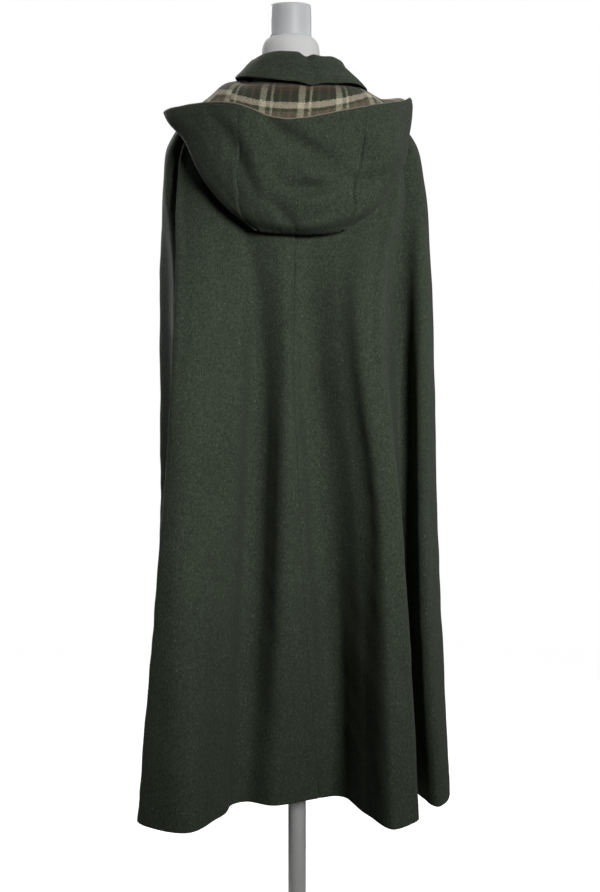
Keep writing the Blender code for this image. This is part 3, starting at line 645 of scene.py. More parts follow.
def shell(name, outer, normal, wall, uv, finish, replaced=(), sewn=(False, False)):
    """A closed sheet under a grid, with rounded edges, which are crisp at the sewn sides."""
    rows, cols = outer.shape[:2]
    wall = np.broadcast_to(np.asarray(wall, float), (rows, cols))[..., None]
    top, under = outer.copy(), outer - normal * wall
    index = np.arange(rows * cols).reshape(rows, cols)
    rim = np.concatenate([index[0, :-1], index[:-1, -1], index[-1, :0:-1], index[:0:-1, 0]])
    middle = ((top + under) / 2).reshape(-1, 3)[rim]
    for grid in (top, under):
        ease_edges(grid, wall.max() * ROUND_EDGE, sewn)
    verts = np.concatenate([top.reshape(-1, 3), under.reshape(-1, 3), middle])
    corners = (index[:-1, :-1], index[:-1, 1:], index[1:, 1:], index[1:, :-1])
    quads = np.stack([corner.ravel() for corner in corners], axis=1)
    size = rows * cols
    mid = 2 * size + np.arange(len(rim))
    nxt, mid_nxt = np.roll(rim, -1), np.roll(mid, -1)
    faces = np.concatenate([
        quads,
        size + quads[:, [0, 3, 2, 1]],
        np.stack([nxt, rim, mid, mid_nxt], axis=1),
        np.stack([mid_nxt, mid, size + rim, size + nxt], axis=1),
    ])
    flat = uv.reshape(-1, 2)
    coords = np.concatenate([flat, flat, flat[rim]])
    piece = add_piece(name, verts, faces, finish, coords, replaced)
    piece.data.set_sharp_from_angle(angle=math.radians(60))
    return piece


def add_piece(name, verts, faces, finish, coords=None, replaced=()):
    """A smooth mesh of quads that rides on the part."""
    mesh = bpy.data.meshes.new(name)
    mesh.vertices.add(len(verts))
    mesh.vertices.foreach_set("co", np.asarray(verts, np.float32).ravel())
    mesh.loops.add(faces.size)
    mesh.loops.foreach_set("vertex_index", faces.ravel().astype(np.int32))
    mesh.polygons.add(len(faces))
    mesh.polygons.foreach_set("loop_start", np.arange(0, faces.size, faces.shape[1], dtype=np.int32))
    mesh.update(calc_edges=True)
    if coords is not None:
        layer = mesh.uv_layers.new(name="metres")
        layer.uv.foreach_set("vector", np.asarray(coords, np.float32)[faces.ravel()].ravel())
    mesh.polygons.foreach_set("use_smooth", np.ones(len(faces), bool))
    mesh.materials.append(finish)
    mesh.validate()
    piece = bpy.data.objects.new(name, mesh)
    bpy.context.scene.collection.objects.link(piece)
    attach(piece, "root")
    if replaced:
        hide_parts(*replaced)
    return piece


def cape_surface():
    """Places, turns, drops, the creased outer grid, its normals and its run across."""
    places = cape_places()
    drops = stepped(FINE_ROWS)
    grid = cape_grid(places, drops)
    arcs = run_lengths(grid, 1)
    turns = turn_of(places)
    normal = outward(grid)
    height = crease_field(turns, drops, arcs)
    height += ripple_field(arcs, drops) * smooth(0.03, 0.2, drops)[:, None]
    height *= smooth(0.0, 0.05, drops)[:, None]
    height -= HEM_DIMPLE * bell(drops - HEM_LINE, 0.003)[:, None]
    grid = grid + normal * height[..., None]
    return places, turns, drops, grid, outward(grid), run_lengths(grid, 1)


def trim(grid, amount, ends):
    """Draw the grid's first and last columns in by an amount."""
    grid = grid.copy()
    for near, far, wanted in ((0, 1, ends[0]), (-1, -2, ends[1])):
        if wanted:
            grid[:, near] += amount * unit(grid[:, far] - grid[:, near])
    return grid


def panel_dip(arc, ends):
    """How far a panel dips at its seams, or at the stitching along an open edge."""
    dip = np.zeros(arc.shape)
    for distance, seam in zip((arc - arc[:, :1], arc[:, -1:] - arc), ends):
        if seam:
            dip += SEAM_DIP * bell(distance, SEAM_WIDTH)
        else:
            dip += STITCH_DIP * bell(distance - STITCH_EDGE, STITCH_GROOVE)
    return dip


def cape_panels(finish):
    """The four cut panels, with seam dips, a lapped front and a turned hem."""
    places, _, drops, grid, normal, arcs = SURFACE
    coarse = column_places()
    wall = CAPE_WALL * (1.0 + 0.5 * smooth(HEM_LINE - 0.002, HEM_LINE + 0.002, drops))[:, None]
    run = run_lengths(grid, 0)
    for name, first_line, last_line in PANELS:
        start, stop = NAMES.index(first_line), NAMES.index(last_line) or COUNT
        ends = (name != "front_right", name != "front_left")
        start = start if ends[0] else places[0]
        stop = stop if ends[1] else places[-1]
        pick = (places > start - 1e-6) & (places < stop + 1e-6)
        sheet, side, arc = grid[:, pick], normal[:, pick], arcs[:, pick]
        lift = -panel_dip(arc, ends)
        if name == "front_right":
            low, high = coarse[OVERLAP_COLUMNS], coarse[OVERLAP_COLUMNS + 3]
            lift += OVERLAP_LIFT * (1.0 - smooth(low, high, places[pick]))[None, :]
        sheet = trim(sheet + side * lift[..., None], SEAM_GAP, ends)
        uv = np.stack([arc - arc[:, arc.shape[1] // 2][:, None], run[:, pick]], axis=-1)
        piece = shell(f"cape_{name}", sheet, side, wall, uv, finish, (name,), ends)


def seam_allowances(finish):
    """The pressed-open allowances behind the cape's three long seams."""
    places, _, drops, grid, normal, arcs = SURFACE
    for name, line in (("side_right", "side_r"), ("centre_back", "centre_back"), ("side_left", "side_l")):
        at = int(np.argmin(np.abs(places - NAMES.index(line))))
        near = np.abs(arcs - arcs[:, at][:, None]).max(axis=0) < ALLOWANCE
        rows = slice(2, -2)
        depth = CAPE_WALL + SEAM_DIP + GAP
        sheet = grid[rows, near] - normal[rows, near] * depth
        uv = np.stack([arcs[rows, near], np.broadcast_to(drops[rows, None], sheet.shape[:2])], axis=-1)
        shell(f"allowance_{name}", sheet, normal[rows, near], ALLOWANCE_WALL, uv, finish, ())


def hood_grid():
    """The hood's outside as fine rows of loops, with its crumples, and its normals."""
    rows = stepped(HOOD_ROWS)
    grid, p, v = hood_loop(rows, HOOD_FINE)
    height = HOOD_RIPPLE * np.sin(40.0 * p + 9.0 * v) * np.sin(17.0 * v + 3.0 * p)
    for _, p0, v0, p1, v1, width, depth in HOOD_CREASES:
        ax, ay = (p1 - p0) * HOOD_HALF, (v1 - v0) * HOOD_TALL
        px, py = (p - p0) * HOOD_HALF, (v - v0) * HOOD_TALL
        t = np.clip((px * ax + py * ay) / (ax * ax + ay * ay), 0.0, 1.0)
        distance = np.hypot(px - t * ax, py - t * ay)
        height += depth * bell(distance, width) * np.sin(np.pi * (0.15 + 0.7 * t))
    table = np.array(HOOD_SEAMS)
    for column in (1, 2):
        seam = np.interp(rows, table[:, 0], table[:, column])[:, None]
        height -= SEAM_DIP * bell((p - seam) * HOOD_HALF, SEAM_WIDTH)
    height[:, 2 * HOOD_SPAN + 1:5 * HOOD_SPAN] = 0.0
    grid = grid + loop_normals(grid) * height[..., None]
    return rows, grid, loop_normals(grid)


def hood_pieces(grid):
    """Cut a hood grid into its middle and two side panels."""
    span = HOOD_SPAN
    right = np.arange(4 * span, 6 * span + 1) % grid.shape[1]
    outer, inner = grid[:, :span + 1], grid[::-1, 4 * span:3 * span - 1:-1]
    turn = (outer[-1] + inner[0]) / 2
    middle = np.concatenate([outer, turn[None], inner])
    return {"middle": middle, "left": grid[:, span:3 * span + 1], "right": grid[:, right]}


def hood_bodies(prefix, depth, wall, finish):
    """The hood's three pieces as a layer at a depth under its outside."""
    rows, grid, normal = HOOD
    shapes, sides = hood_pieces(grid), hood_pieces(normal)
    roll = len(rows)
    shapes["middle"][roll, :, 2] -= HOOD_BOTTOM_ROLL * (1.0 - np.linspace(-1.0, 1.0, HOOD_FINE) ** 4)
    sides["middle"][roll] = (0.0, 0.0, -1.0)
    cross_runs = run_lengths(shapes["middle"], 1)
    cross_runs = cross_runs - cross_runs[:, HOOD_FINE // 2][:, None]
    seam_run = cross_runs[:roll:-1]
    for name, shape in shapes.items():
        side = unit(sides[name])
        top = trim(shape - side * depth, SEAM_GAP, (True, True))
        across, down = run_lengths(shape, 1), run_lengths(shape, 0)
        even = np.broadcast_to(down.mean(axis=1, keepdims=True), down.shape)
        if name == "middle":
            uv = np.stack([cross_runs, (down[-1] - down + even[-1] - even) / 2], axis=-1)
        elif name == "left":
            uv = np.stack([seam_run[:, -1:] + across[:, -1:] - across, even], axis=-1)
        else:
            uv = np.stack([seam_run[:, :1] - across, even], axis=-1)
        node_name = f"{prefix}_{name}"
        piece = shell(f"{node_name}_cloth", top, side, wall, uv, finish, (node_name,), (True, True))


def loop_faces(index, inward=False):
    """Quads that join rows of closed loops and close both ends."""
    wrap = np.roll(index, -1, axis=1)
    sides = index.shape[1]
    k = np.arange(1, sides // 2)
    ends = np.stack([k - 1, k, sides - 1 - k, -k % sides], axis=1)
    between = np.stack([index[:-1], wrap[:-1], wrap[1:], index[1:]], axis=-1).reshape(-1, 4)
    faces = np.concatenate([between, index[0][ends][:, ::-1], index[-1][ends]])
    return faces[:, ::-1] if inward else faces


def circles(path, first, second, radius, sides):
    """A circle of points round each point of a path, in the plane of two unit vectors."""
    angle = np.linspace(0.0, 2 * np.pi, sides, endpoint=False)[None, :, None]
    ring = np.cos(angle) * first[:, None] + np.sin(angle) * second[:, None]
    return (path[:, None] + ring * radius).reshape(-1, 3)


def tube(name, path, radius, finish):
    """A round cord along a path of points, closed at both ends."""
    along = unit(np.gradient(path, axis=0))
    first = unit(np.cross(along, (0.31, 0.17, 0.93)))
    taper = np.ones((len(path), 1, 1))
    taper[0] = taper[-1] = 0.25
    verts = circles(path, first, np.cross(along, first), radius * taper, TUBE_SIDES)
    index = np.arange(len(verts)).reshape(-1, TUBE_SIDES)
    add_piece(name, verts, loop_faces(index), finish, None, ())


def stitches(name, path, up, finish):
    """A line of short threads that lies on a path; up gives the cloth's normals."""
    path, up = np.asarray(path), np.asarray(up)
    run = run_lengths(path[:, None], 0)[:, 0]
    reach, rise = np.array(STITCH_SHAPE).T * [[STITCH_LENGTH], [1.0]]
    starts = np.arange(0.004, run[-1] - 0.006, STITCH_PITCH)
    verts = []
    for start in starts:
        read = [np.interp(start + reach, run, column) for column in np.hstack([path, up]).T]
        centre, normal = np.stack(read[:3], axis=1), unit(np.stack(read[3:], axis=1))
        side = np.cross(unit(np.gradient(centre, axis=0)), normal)
        verts.append(circles(centre + normal * rise[:, None], side, normal, STITCH_RADIUS, STITCH_SIDES))
    index = np.arange(len(reach) * STITCH_SIDES).reshape(-1, STITCH_SIDES)
    faces = [loop_faces(index + k * index.size) for k in range(len(starts))]
    add_piece(name, np.concatenate(verts), np.concatenate(faces), finish, None, ())


def collar_surface():
    """The collar's fine grid, with its fold's notch and soft dents."""
    rings = np.array([ring_points(COLLAR_TURNS, *row[1:8]) for row in COLLAR_RINGS])
    rings[..., 2] += rings[..., 0] * np.array([row[8] for row in COLLAR_RINGS])[:, None]
    knots = run_lengths(rings, 0).mean(axis=1)
    at = np.linspace(0.0, knots[-1], COLLAR_FINE_ROWS)
    face = spline(knots, rings, at)
    turn, down = np.meshgrid(COLLAR_TURNS, at / knots[-1])
    height, drop = np.zeros(turn.shape), np.zeros(turn.shape)
    for _, centre, width, low, high, depth, fall in COLLAR_DENTS:
        dent = bell(turn - centre, width)
        dent *= smooth(low - 0.1, low, down) * (1 - smooth(high, high + 0.15, down))
        height += depth * dent
        drop += fall * dent
    height += COLLAR_RIPPLE * np.sin(turn / 7.0 + 3.0 * down) * np.sin(9.0 * down + turn / 19.0)
    height -= STITCH_DIP * bell(knots[-1] - at - STITCH_EDGE, STITCH_GROOVE)[:, None]
    face = face + outward(face) * height[..., None]
    face[..., 2] -= drop
    return face, outward(face)


def collar(finish):
    """The turned-down collar."""
    face, normal = COLLAR
    uv = np.stack([run_lengths(face, 1), run_lengths(face, 0)], axis=-1)
    piece = shell("collar_cloth", face, normal, COLLAR_WALL, uv, finish, ("collar",))


def turned(name, profile, x, finish, replaced, sides=72, placing=None):
    """A solid turned about its axis from a profile that runs from the top down."""
    profile = np.array([(0.0005, profile[0][1])] + list(profile) + [(0.0005, profile[-1][1])])
    angle = np.linspace(0.0, 2 * np.pi, sides, endpoint=False)
    radius, height = profile[:, :1], profile[:, 1:]
    grid = np.stack([radius * np.cos(angle) + x, radius * np.sin(angle), height + 0.0 * angle], axis=-1)
    verts = grid.reshape(-1, 3)
    if placing:
        centre, turn = placing
        verts = verts @ turn.T + centre
    faces = loop_faces(np.arange(len(verts)).reshape(grid.shape[:2]), True)
    return add_piece(name, verts, faces, finish, None, replaced)


def rounded(profile, cuts=4):
    """A profile with each corner eased by cutting it a few times."""
    points = np.array(profile, float)
    for _ in range(cuts):
        near = points[:-1] * 0.75 + points[1:] * 0.25
        far = points[:-1] * 0.25 + points[1:] * 0.75
        middle = np.stack([near, far], axis=1).reshape(-1, 2)
        points = np.concatenate([points[:1], middle, points[-1:]])
    return points


def feed(tree, owner, inputs):
    """Give a node's inputs their values: a socket is linked, and a colour gets its alpha."""
    for key, value in inputs.items():
        socket = owner.inputs[key]
        if isinstance(value, bpy.types.NodeSocket):
            tree.links.new(value, socket)
        else:
            socket.default_value = (*value, 1.0) if socket.type == "RGBA" else value


def node(tree, kind, inputs=None, **settings):
    """A new shader node with its settings and inputs."""
    made = tree.nodes.new(kind)
    for key, value in settings.items():
        setattr(made, key, value)
    feed(tree, made, inputs or {})
    return made


def blend(tree, fac, first, second):
    """Mix two shaders by a value."""
    return node(tree, "ShaderNodeMixShader", {0: fac, 1: first.outputs[0], 2: second.outputs[0]})


def material(name, roughness, sheen=0.0, sheen_tint=(1.0, 1.0, 1.0), coat=0.0):
    """A Principled material with its fixed values on the shader's own sockets."""
    made = bpy.data.materials.new(name)
    made.use_nodes = True
    tree = made.node_tree
    shader = tree.nodes["Principled BSDF"]
    feed(tree, shader, {
        "Roughness": roughness,
        "Sheen Weight": sheen,
        "Sheen Roughness": 0.5,
        "Sheen Tint": sheen_tint,
        "Coat Weight": coat,
    })
    return made, tree, shader


def coordinates(tree, kind="Object", scale=(1.0, 1.0, 1.0)):
    """Texture coordinates in metres, stretched by a scale."""
    source = node(tree, "ShaderNodeTexCoord").outputs[kind]
    return node(tree, "ShaderNodeMapping", {"Vector": source, "Scale": scale}).outputs["Vector"]


def noise(tree, vector, scale, detail=2.0, roughness=0.5, distortion=0.0):
    """A noise value from 0 to 1."""
    made = node(tree, "ShaderNodeTexNoise", {
        "Vector": vector,
        "Scale": scale,
        "Detail": detail,
        "Roughness": roughness,
        "Distortion": distortion,
    })
    return made.outputs["Fac"]


def ramp(tree, value, stops, interpolation="LINEAR"):
    """A colour ramp over a value; a lone number in its stops is a grey."""
    made = node(tree, "ShaderNodeValToRGB", {"Fac": value})
    made.color_ramp.interpolation = interpolation
    elements = made.color_ramp.elements
    while len(elements) < len(stops):
        elements.new(0.5)
    for element, (position, colour) in zip(elements, stops):
        element.position = position
        element.color = (colour, colour, colour, 1.0) if isinstance(colour, float) else (*colour, 1.0)
    return made.outputs["Color"]


def mix(tree, fac, first, second, kind="MIX"):
    """Mix two colours by a value."""
    inputs = {0: fac, 6: first, 7: second}
    return node(tree, "ShaderNodeMix", inputs, data_type="RGBA", blend_type=kind).outputs[2]


def sums(tree, operation, first, second):
    """One arithmetic step on sockets or numbers."""
    return node(tree, "ShaderNodeMath", {0: first, 1: second}, operation=operation).outputs[0]


def surface(tree, shader, colour, roughness, height, strength, distance):
    """Give a shader its colour and roughness, and raise it by a height value."""
    raised = node(tree, "ShaderNodeBump", {"Height": height, "Strength": strength, "Distance": distance})
    feed(tree, shader, {"Base Color": colour, "Roughness": roughness, "Normal": raised.outputs["Normal"]})


def spread(tree, value, low, high):
    """Turn a value from 0 to 1 into one from low to high."""
    return node(tree, "ShaderNodeMapRange", {"Value": value, "To Min": low, "To Max": high}).outputs["Result"]


def loden_wool():
    """Fulled green wool: a grey-green mixture with light hairs and a short nap."""
    made, tree, shader = material("loden_wool", 0.95, 0.03, (0.75, 0.80, 0.70))
    solid = coordinates(tree, "Object", (1.0, 1.0, 0.62))
    fibre = noise(tree, solid, 850.0, 4.0, 0.62, 0.4)
    clump = noise(tree, solid, 330.0, 3.0, 0.62, 0.5)
    patch = noise(tree, solid, 16.0, 3.0, 0.5)
    hair = noise(tree, coordinates(tree, "Object", (1.0, 1.0, 0.5)), 720.0, 2.0, 0.5, 0.8)
    tufts = ramp(tree, clump, ((0.34, (0.68, 0.69, 0.68)), (0.50, 0.97), (0.66, (1.34, 1.32, 1.28))))
    cloud = ramp(tree, patch, ((0.30, (0.90, 0.92, 0.90)), (0.70, (1.08, 1.07, 1.05))))
    ground = ramp(tree, fibre, ((0.30, LODEN_DARK), (0.72, LODEN_LIGHT)))
    ground = mix(tree, 1.0, ground, tufts, "MULTIPLY")
    ground = mix(tree, 1.0, ground, cloud, "MULTIPLY")
    ground = mix(tree, ramp(tree, hair, ((0.62, 0.0), (0.72, 1.0))), ground, HAIR)
    lumps = sums(tree, "ADD", sums(tree, "MULTIPLY", clump, 0.6), sums(tree, "MULTIPLY", fibre, 0.5))
    surface(tree, shader, ground, spread(tree, fibre, 0.88, 1.0), lumps, 0.45, 0.0008)
    return made


def plaid_flannel():
    """Brushed plaid lining: warp and weft stripes crossed in a fine twill."""
    made, tree, shader = material("plaid_flannel", 0.95, 0.12, (0.9, 0.85, 0.75))
    place = coordinates(tree, "UV")
    split = node(tree, "ShaderNodeSeparateXYZ", {"Vector": place})
    fuzz = sums(tree, "SUBTRACT", noise(tree, place, NAP_SCALE, 4.0, 0.7), 0.5)
    fuzz = sums(tree, "MULTIPLY", fuzz, STRIPE_FUZZ)
    sets = []
    for axis, shift, stripes in (("X", WARP_SHIFT, WARP_STRIPES), ("Y", 0.0, WEFT_STRIPES)):
        at = sums(tree, "MULTIPLY", sums(tree, "ADD", split.outputs[axis], fuzz), 1 / PLAID_REPEAT)
        at = sums(tree, "FRACT", sums(tree, "ADD", at, 20.0 + shift), 0.0)
        sets.append(ramp(tree, at, stripes, "CONSTANT"))
    slant = sums(tree, "ADD", split.outputs["X"], split.outputs["Y"])
    wave = sums(tree, "SINE", sums(tree, "MULTIPLY", slant, 2 * math.pi / TWILL_PITCH), 0.0)
    twill = sums(tree, "MULTIPLY", sums(tree, "ADD", wave, 1.0), 0.5)
    woven = mix(tree, spread(tree, twill, 0.18, 0.72), *sets)
    brushed = noise(tree, place, NAP_SCALE, 4.0, 0.65, 0.5)
    woven = mix(tree, 1.0, woven, ramp(tree, brushed, ((0.32, 0.50), (0.68, 1.45))), "MULTIPLY")
    height = sums(tree, "ADD", brushed, sums(tree, "MULTIPLY", twill, 0.5))
    surface(tree, shader, woven, spread(tree, brushed, 0.88, 1.0), height, 0.5, 0.0006)
    return made


def horn():
    """Dark horn for the buttons, streaked and softly polished."""
    made, tree, shader = material("button_horn", 0.38, coat=0.15)
    feed(tree, shader, {"Coat Roughness": 0.3})
    streak = noise(tree, coordinates(tree, "Object", (1.0, 1.0, 0.25)), 240.0, 4.0, 0.6, 1.6)
    colour = ramp(tree, streak, HORN_STOPS)
    surface(tree, shader, colour, spread(tree, streak, 0.30, 0.48), streak, 0.15, 0.0002)
    return made


def jersey():
    """Off-white jersey pulled over the form, with fine ribs and slight soiling."""
    made, tree, shader = material("form_jersey", 0.85, 0.15)
    solid = coordinates(tree)
    waves = {"Vector": solid, "Scale": 190.0, "Distortion": 0.4}
    rib = node(tree, "ShaderNodeTexWave", waves, wave_type="BANDS", bands_direction="Z")
    grain = noise(tree, coordinates(tree, "Object", (1.0, 1.0, 1.6)), 700.0, 3.0, 0.6)
    soil = noise(tree, solid, 9.0, 3.0, 0.5)
    ground = ramp(tree, soil, ((0.3, (0.83, 0.825, 0.80)), (0.7, (0.90, 0.90, 0.885))))
    ground = mix(tree, 1.0, ground, ramp(tree, grain, ((0.3, 0.93), (0.7, 1.0))), "MULTIPLY")
    height = sums(tree, "ADD", sums(tree, "MULTIPLY", rib.outputs["Fac"], 0.5), grain)
    surface(tree, shader, ground, spread(tree, grain, 0.78, 0.92), height, 0.3, 0.0004)
    return made


def white_paint(name, colour, roughness):
    """White paint with slight clouding and an orange-peel skin."""
    made, tree, shader = material(name, roughness)
    solid = coordinates(tree)
    cloud = noise(tree, solid, 22.0, 3.0, 0.5)
    coat = ramp(tree, cloud, ((0.3, tuple(c * 0.94 for c in colour)), (0.7, colour)))
    rough = spread(tree, cloud, roughness - 0.06, roughness + 0.08)
    surface(tree, shader, coat, rough, noise(tree, solid, 420.0, 2.0, 0.5), 0.12, 0.0003)
    return made


def thread(name, colour):
    """Sewing thread with a twist."""
    made, tree, shader = material(name, 0.7, 0.1)
    twist = noise(tree, coordinates(tree), 2600.0, 1.0, 0.5)
    dyed = ramp(tree, twist, ((0.35, tuple(c * 0.6 for c in colour)), (0.65, colour)))
    feed(tree, shader, {"Base Color": dyed})
    return made


def button_frames():
    """Centre and axes of each button on the right front's facets."""
    near = cape_grid([-BUTTON_REACH, 0.0, BUTTON_REACH], CAPE_ROWS)
    face = near[:, 1] + outward(near)[:, 1] * OVERLAP_LIFT
    frames = []
    for drop in BUTTON_DROPS:
        row = int(np.searchsorted(CAPE_ROWS, drop)) - 1
        share = (drop - CAPE_ROWS[row]) / (CAPE_ROWS[row + 1] - CAPE_ROWS[row])
        down = face[row + 1] - face[row]
        normal = Vector(np.cross(down, (1.0, 0.0, 0.0))).normalized()
        turn = np.array(normal.to_track_quat("Z", "Y").to_matrix())
        frames.append((face[row] + down * share + np.array(normal) * GAP, turn))
    return frames


def button_disc(name, centre, turn, finish, replaced):
    """A button with a rolled rim, a dished face and four holes, cut from a ring of quads."""
    profile = rounded([(r * BUTTON_RADIUS, z * BUTTON_THICK) for r, z in BUTTON_FINE], 2)
    disc = turned(name, profile, 0.0, finish, (), 48, (centre, turn))
    cutters = []
    for sx, sy in ((1, 1), (1, -1), (-1, 1), (-1, -1)):
        spot = centre + turn @ np.array([sx * HOLE_OFFSET, sy * HOLE_OFFSET, 0.0])
        bpy.ops.mesh.primitive_cylinder_add(vertices=14, radius=HOLE_RADIUS, depth=0.02)
        cutter = bpy.context.object
        cutter.data.transform(Matrix.Translation(spot) @ Matrix(turn.tolist()).to_4x4())
        cutters.append(cutter)
        cut = disc.modifiers.new("hole", "BOOLEAN")
        cut.object = cutter
        cut.solver = "EXACT"
    bpy.context.view_layer.update()
    mesh = bpy.data.meshes.new_from_object(disc.evaluated_get(bpy.context.evaluated_depsgraph_get()))
    disc.modifiers.clear()
    disc.data = mesh
    for cutter in cutters:
        bpy.data.objects.remove(cutter)
    mesh.polygons.foreach_set("use_smooth", np.ones(len(mesh.polygons), bool))
    mesh.set_sharp_from_angle(angle=math.radians(38))
    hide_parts(replaced)


def buttons(finish, cotton):
    """Five buttons, each sewn with a cross of thread through its four holes."""
    share = np.linspace(-1.15, 1.15, 13)
    for number, (centre, turn) in enumerate(button_frames(), 1):
        button_disc(f"button_{number}_horn", centre, turn, finish, f"button_{number}")
        for k, slant in enumerate((1, -1)):
            height = BUTTON_THICK * 0.80 + 0.0006 + 0.0004 * k - 0.0030 * smooth(0.85, 1.15, np.abs(share))
            flat = np.stack([share * HOLE_OFFSET, slant * share * HOLE_OFFSET, height], axis=1)
            path = flat @ turn.T + centre
            tube(f"button_{number}_thread_{k + 1}", path, THREAD_RADIUS, cotton)


def torso(finish):
    """The form's body, as the solid's rings joined smoothly."""
    places = np.linspace(0.0, COUNT, FORM_COLUMNS, endpoint=False)
    turns = turn_of(places)
    shoulders = cape_grid(places, CAPE_ROWS[:5])
    wide = np.concatenate([shoulders[:, -2:], shoulders, shoulders[:, :2]], axis=1)
    normal = outward(wide)[:, 2:-2]
    inset = CAPE_WALL + FORM_CLEAR + FORM_EASE * np.cos(np.radians(turns)) ** 2
    shoulders = (shoulders - normal * inset[:, None])[FORM_ROWS]
    neck = [ring_points(turns, *row[1:]) for row in NECK_RINGS]
    body = [ring_points(turns, *row[1:]) for row in TORSO_RINGS]
    rings = np.concatenate([neck, shoulders, body])
    knots = run_lengths(rings, 0).mean(axis=1)
    at = np.sort(np.concatenate([knots, np.linspace(0.0, knots[-1], FORM_FINE_ROWS)[1:-1]]))
    fine = spline(knots, rings, at)
    caps = []
    for ring, shares in ((fine[0], (0.02, 0.4, 0.9)), (fine[-1], (0.96, 0.5, 0.02))):
        centre = ring.mean(axis=0)
        caps.append([centre + (ring - centre) * share for share in shares])
    fine[-1, :, 2] += 0.004
    grid = np.concatenate([caps[0], fine, caps[1]])
    faces = loop_faces(np.arange(grid[..., 0].size).reshape(grid.shape[:2]))
    add_piece("torso_cover", grid.reshape(-1, 3), faces, finish, None, ("form_torso",))


def dress_form():
    """The form and its stand, with finer turned shapes than the solids."""
    cover = jersey()
    block = white_paint("block_paint", (0.78, 0.80, 0.82), 0.45)
    stand = white_paint("stand_coat", (0.78, 0.78, 0.77), 0.35)
    torso(cover)
    turned("neck_cover", rounded(NECK_PROFILE, 3), NECK_X, cover, ("form_neck",))
    turned("neck_block_top", rounded(BLOCK_PROFILE, 2), NECK_X, block, ("form_neck_block",))
    turned("stand_pole", POLE_PROFILE, 0.0, stand, ("form_pole",), 40)
    turned("stand_base", rounded(BASE_PROFILE, 2), 0.0, stand, ("form_base",), 96)


def floor():
    """A pale floor that fades out into the plain surround and bounces little light."""
    place = (0.0, 0.0, -0.0005)
    bpy.ops.mesh.primitive_circle_add(vertices=96, radius=FLOOR_RADIUS, fill_type="NGON", location=place)
    disc = bpy.context.object
    disc.name = "floor"
    made, tree, shader = material("floor_paper", 0.9)
    feed(tree, shader, {
        "Base Color": (0.80, 0.80, 0.80),
        "Emission Color": (1.0, 1.0, 1.0),
        "Emission Strength": FLOOR_GLOW,
    })
    dull = node(tree, "ShaderNodeBsdfDiffuse", {"Color": (FLOOR_BOUNCE,) * 3})
    level = coordinates(tree, "Object", (1.0, 1.0, 0.0))
    length = node(tree, "ShaderNodeVectorMath", {0: level}, operation="LENGTH").outputs["Value"]
    span = {"Value": length, "From Min": FLOOR_FADE[0], "From Max": FLOOR_FADE[1]}
    fade = node(tree, "ShaderNodeMapRange", span, interpolation_type="SMOOTHSTEP").outputs["Result"]
    ray = node(tree, "ShaderNodeLightPath").outputs["Is Camera Ray"]
    faded = blend(tree, fade, blend(tree, ray, dull, shader), node(tree, "ShaderNodeBsdfTransparent"))
    feed(tree, tree.nodes["Material Output"], {"Surface": faded.outputs[0]})
    disc.data.materials.append(made)


def area_light(name, place, target, size, power, spread):
    """A soft square light aimed at a point."""
    data = bpy.data.lights.new(name, "AREA")
    data.size = size
    data.energy = power
    data.spread = math.radians(spread)
    lamp = bpy.data.objects.new(name, data)
    lamp.location = place
    lamp.rotation_euler = (Vector(target) - Vector(place)).to_track_quat("-Z", "Y").to_euler()
    bpy.context.scene.collection.objects.link(lamp)


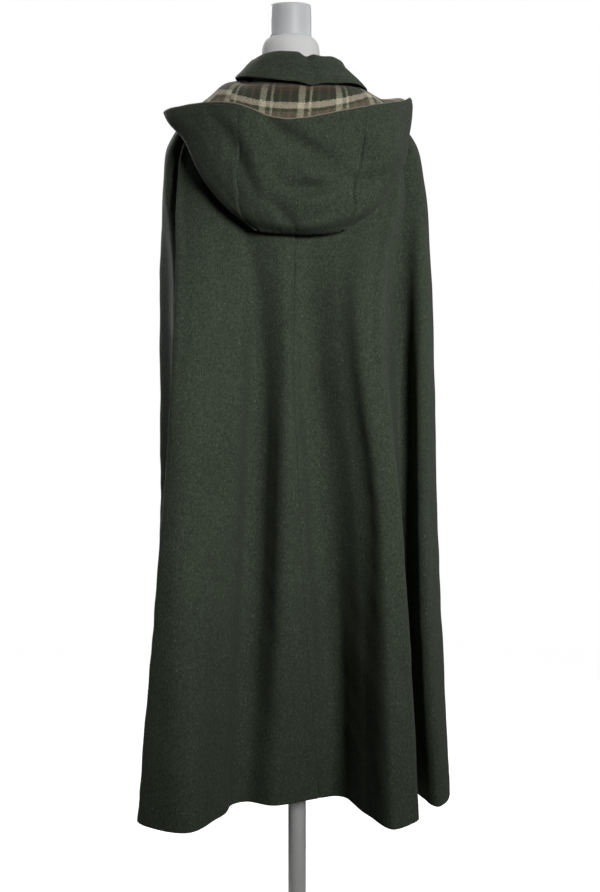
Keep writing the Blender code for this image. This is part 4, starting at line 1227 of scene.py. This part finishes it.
def studio():
    """Plain surround, soft lights and the camera."""
    world = bpy.data.worlds.new("surround")
    bpy.context.scene.world = world
    world.use_nodes = True
    tree = world.node_tree
    tree.nodes.clear()
    seen = node(tree, "ShaderNodeBackground", {"Color": (1.0, 1.0, 1.0), "Strength": 1.0})
    lit = node(tree, "ShaderNodeBackground", {"Color": (0.96, 0.98, 1.0), "Strength": AMBIENT})
    ray = node(tree, "ShaderNodeLightPath").outputs["Is Camera Ray"]
    node(tree, "ShaderNodeOutputWorld", {"Surface": blend(tree, ray, lit, seen).outputs[0]})
    for row in LIGHTS:
        area_light(*row)
    bpy.context.scene.view_settings.view_transform = "Standard"
    data = bpy.data.cameras.new("camera")
    data.sensor_fit = "HORIZONTAL"
    data.sensor_width = 36.0
    data.lens = CAMERA_LENS
    camera = bpy.data.objects.new("camera", data)
    camera.location = CAMERA_PLACE
    camera.rotation_euler = (math.radians(CAMERA_TILT), 0.0, math.pi)
    bpy.context.scene.collection.objects.link(camera)
    bpy.context.scene.camera = camera


def edge_stitches(cotton):
    """Topstitching along the front edge, the collar and the hood's face edge."""
    _, _, drops, grid, normal, arcs = SURFACE
    path, up = [], []
    for r in range(len(drops))[3:-2]:
        column = int(np.searchsorted(arcs[r], arcs[r, 0] + STITCH_EDGE))
        path.append(grid[r, column] + normal[r, column] * (OVERLAP_LIFT - STITCH_DIP))
        up.append(normal[r, column])
    stitches("stitches_front_edge", path, up, cotton)
    face, side = COLLAR
    run = run_lengths(face, 0).mean(axis=1)
    row = int(np.argmin(np.abs(run[-1] - run - STITCH_EDGE)))
    stitches("stitches_collar", face[row, 3:-3], side[row, 3:-3], cotton)
    _, loops, outs = HOOD
    row = int(np.argmin(np.abs(run_lengths(loops, 0).mean(axis=1) - STITCH_EDGE)))
    top = np.arange(5 * HOOD_SPAN, 8 * HOOD_SPAN) % loops.shape[1]
    stitches("stitches_hood_edge", loops[row, top], outs[row, top], cotton)


def hood_rim(finish):
    """The pale edge of the lining that shows along the hood's face edge."""
    _, grid, normal = HOOD
    order = np.arange(4 * HOOD_SPAN + 1, 9 * HOOD_SPAN) % grid.shape[1]
    path = grid[0, order] - normal[0, order] * (HOOD_WALL + GAP)
    path[:, 2] += 0.0004
    tube("hood_rim_cord", path, RIM_RADIUS, finish)


SURFACE = cape_surface()
HOOD = hood_grid()
COLLAR_TURNS = np.linspace(-COLLAR_END, COLLAR_END, COLLAR_FINE_COLUMNS)
COLLAR = collar_surface()

wool = loden_wool()
flannel = plaid_flannel()
cotton = thread("green_thread", (0.050, 0.062, 0.046))
cape_panels(wool)
seam_allowances(wool)
hood_bodies("hood", 0.0, HOOD_WALL, wool)
hood_bodies("lining", HOOD_WALL + GAP / 2, LINING_WALL, flannel)
hood_rim(thread("rim_thread", (0.30, 0.26, 0.19)))
collar(wool)
edge_stitches(cotton)
buttons(horn(), thread("button_thread", (0.045, 0.035, 0.025)))
dress_form()
floor()
studio()
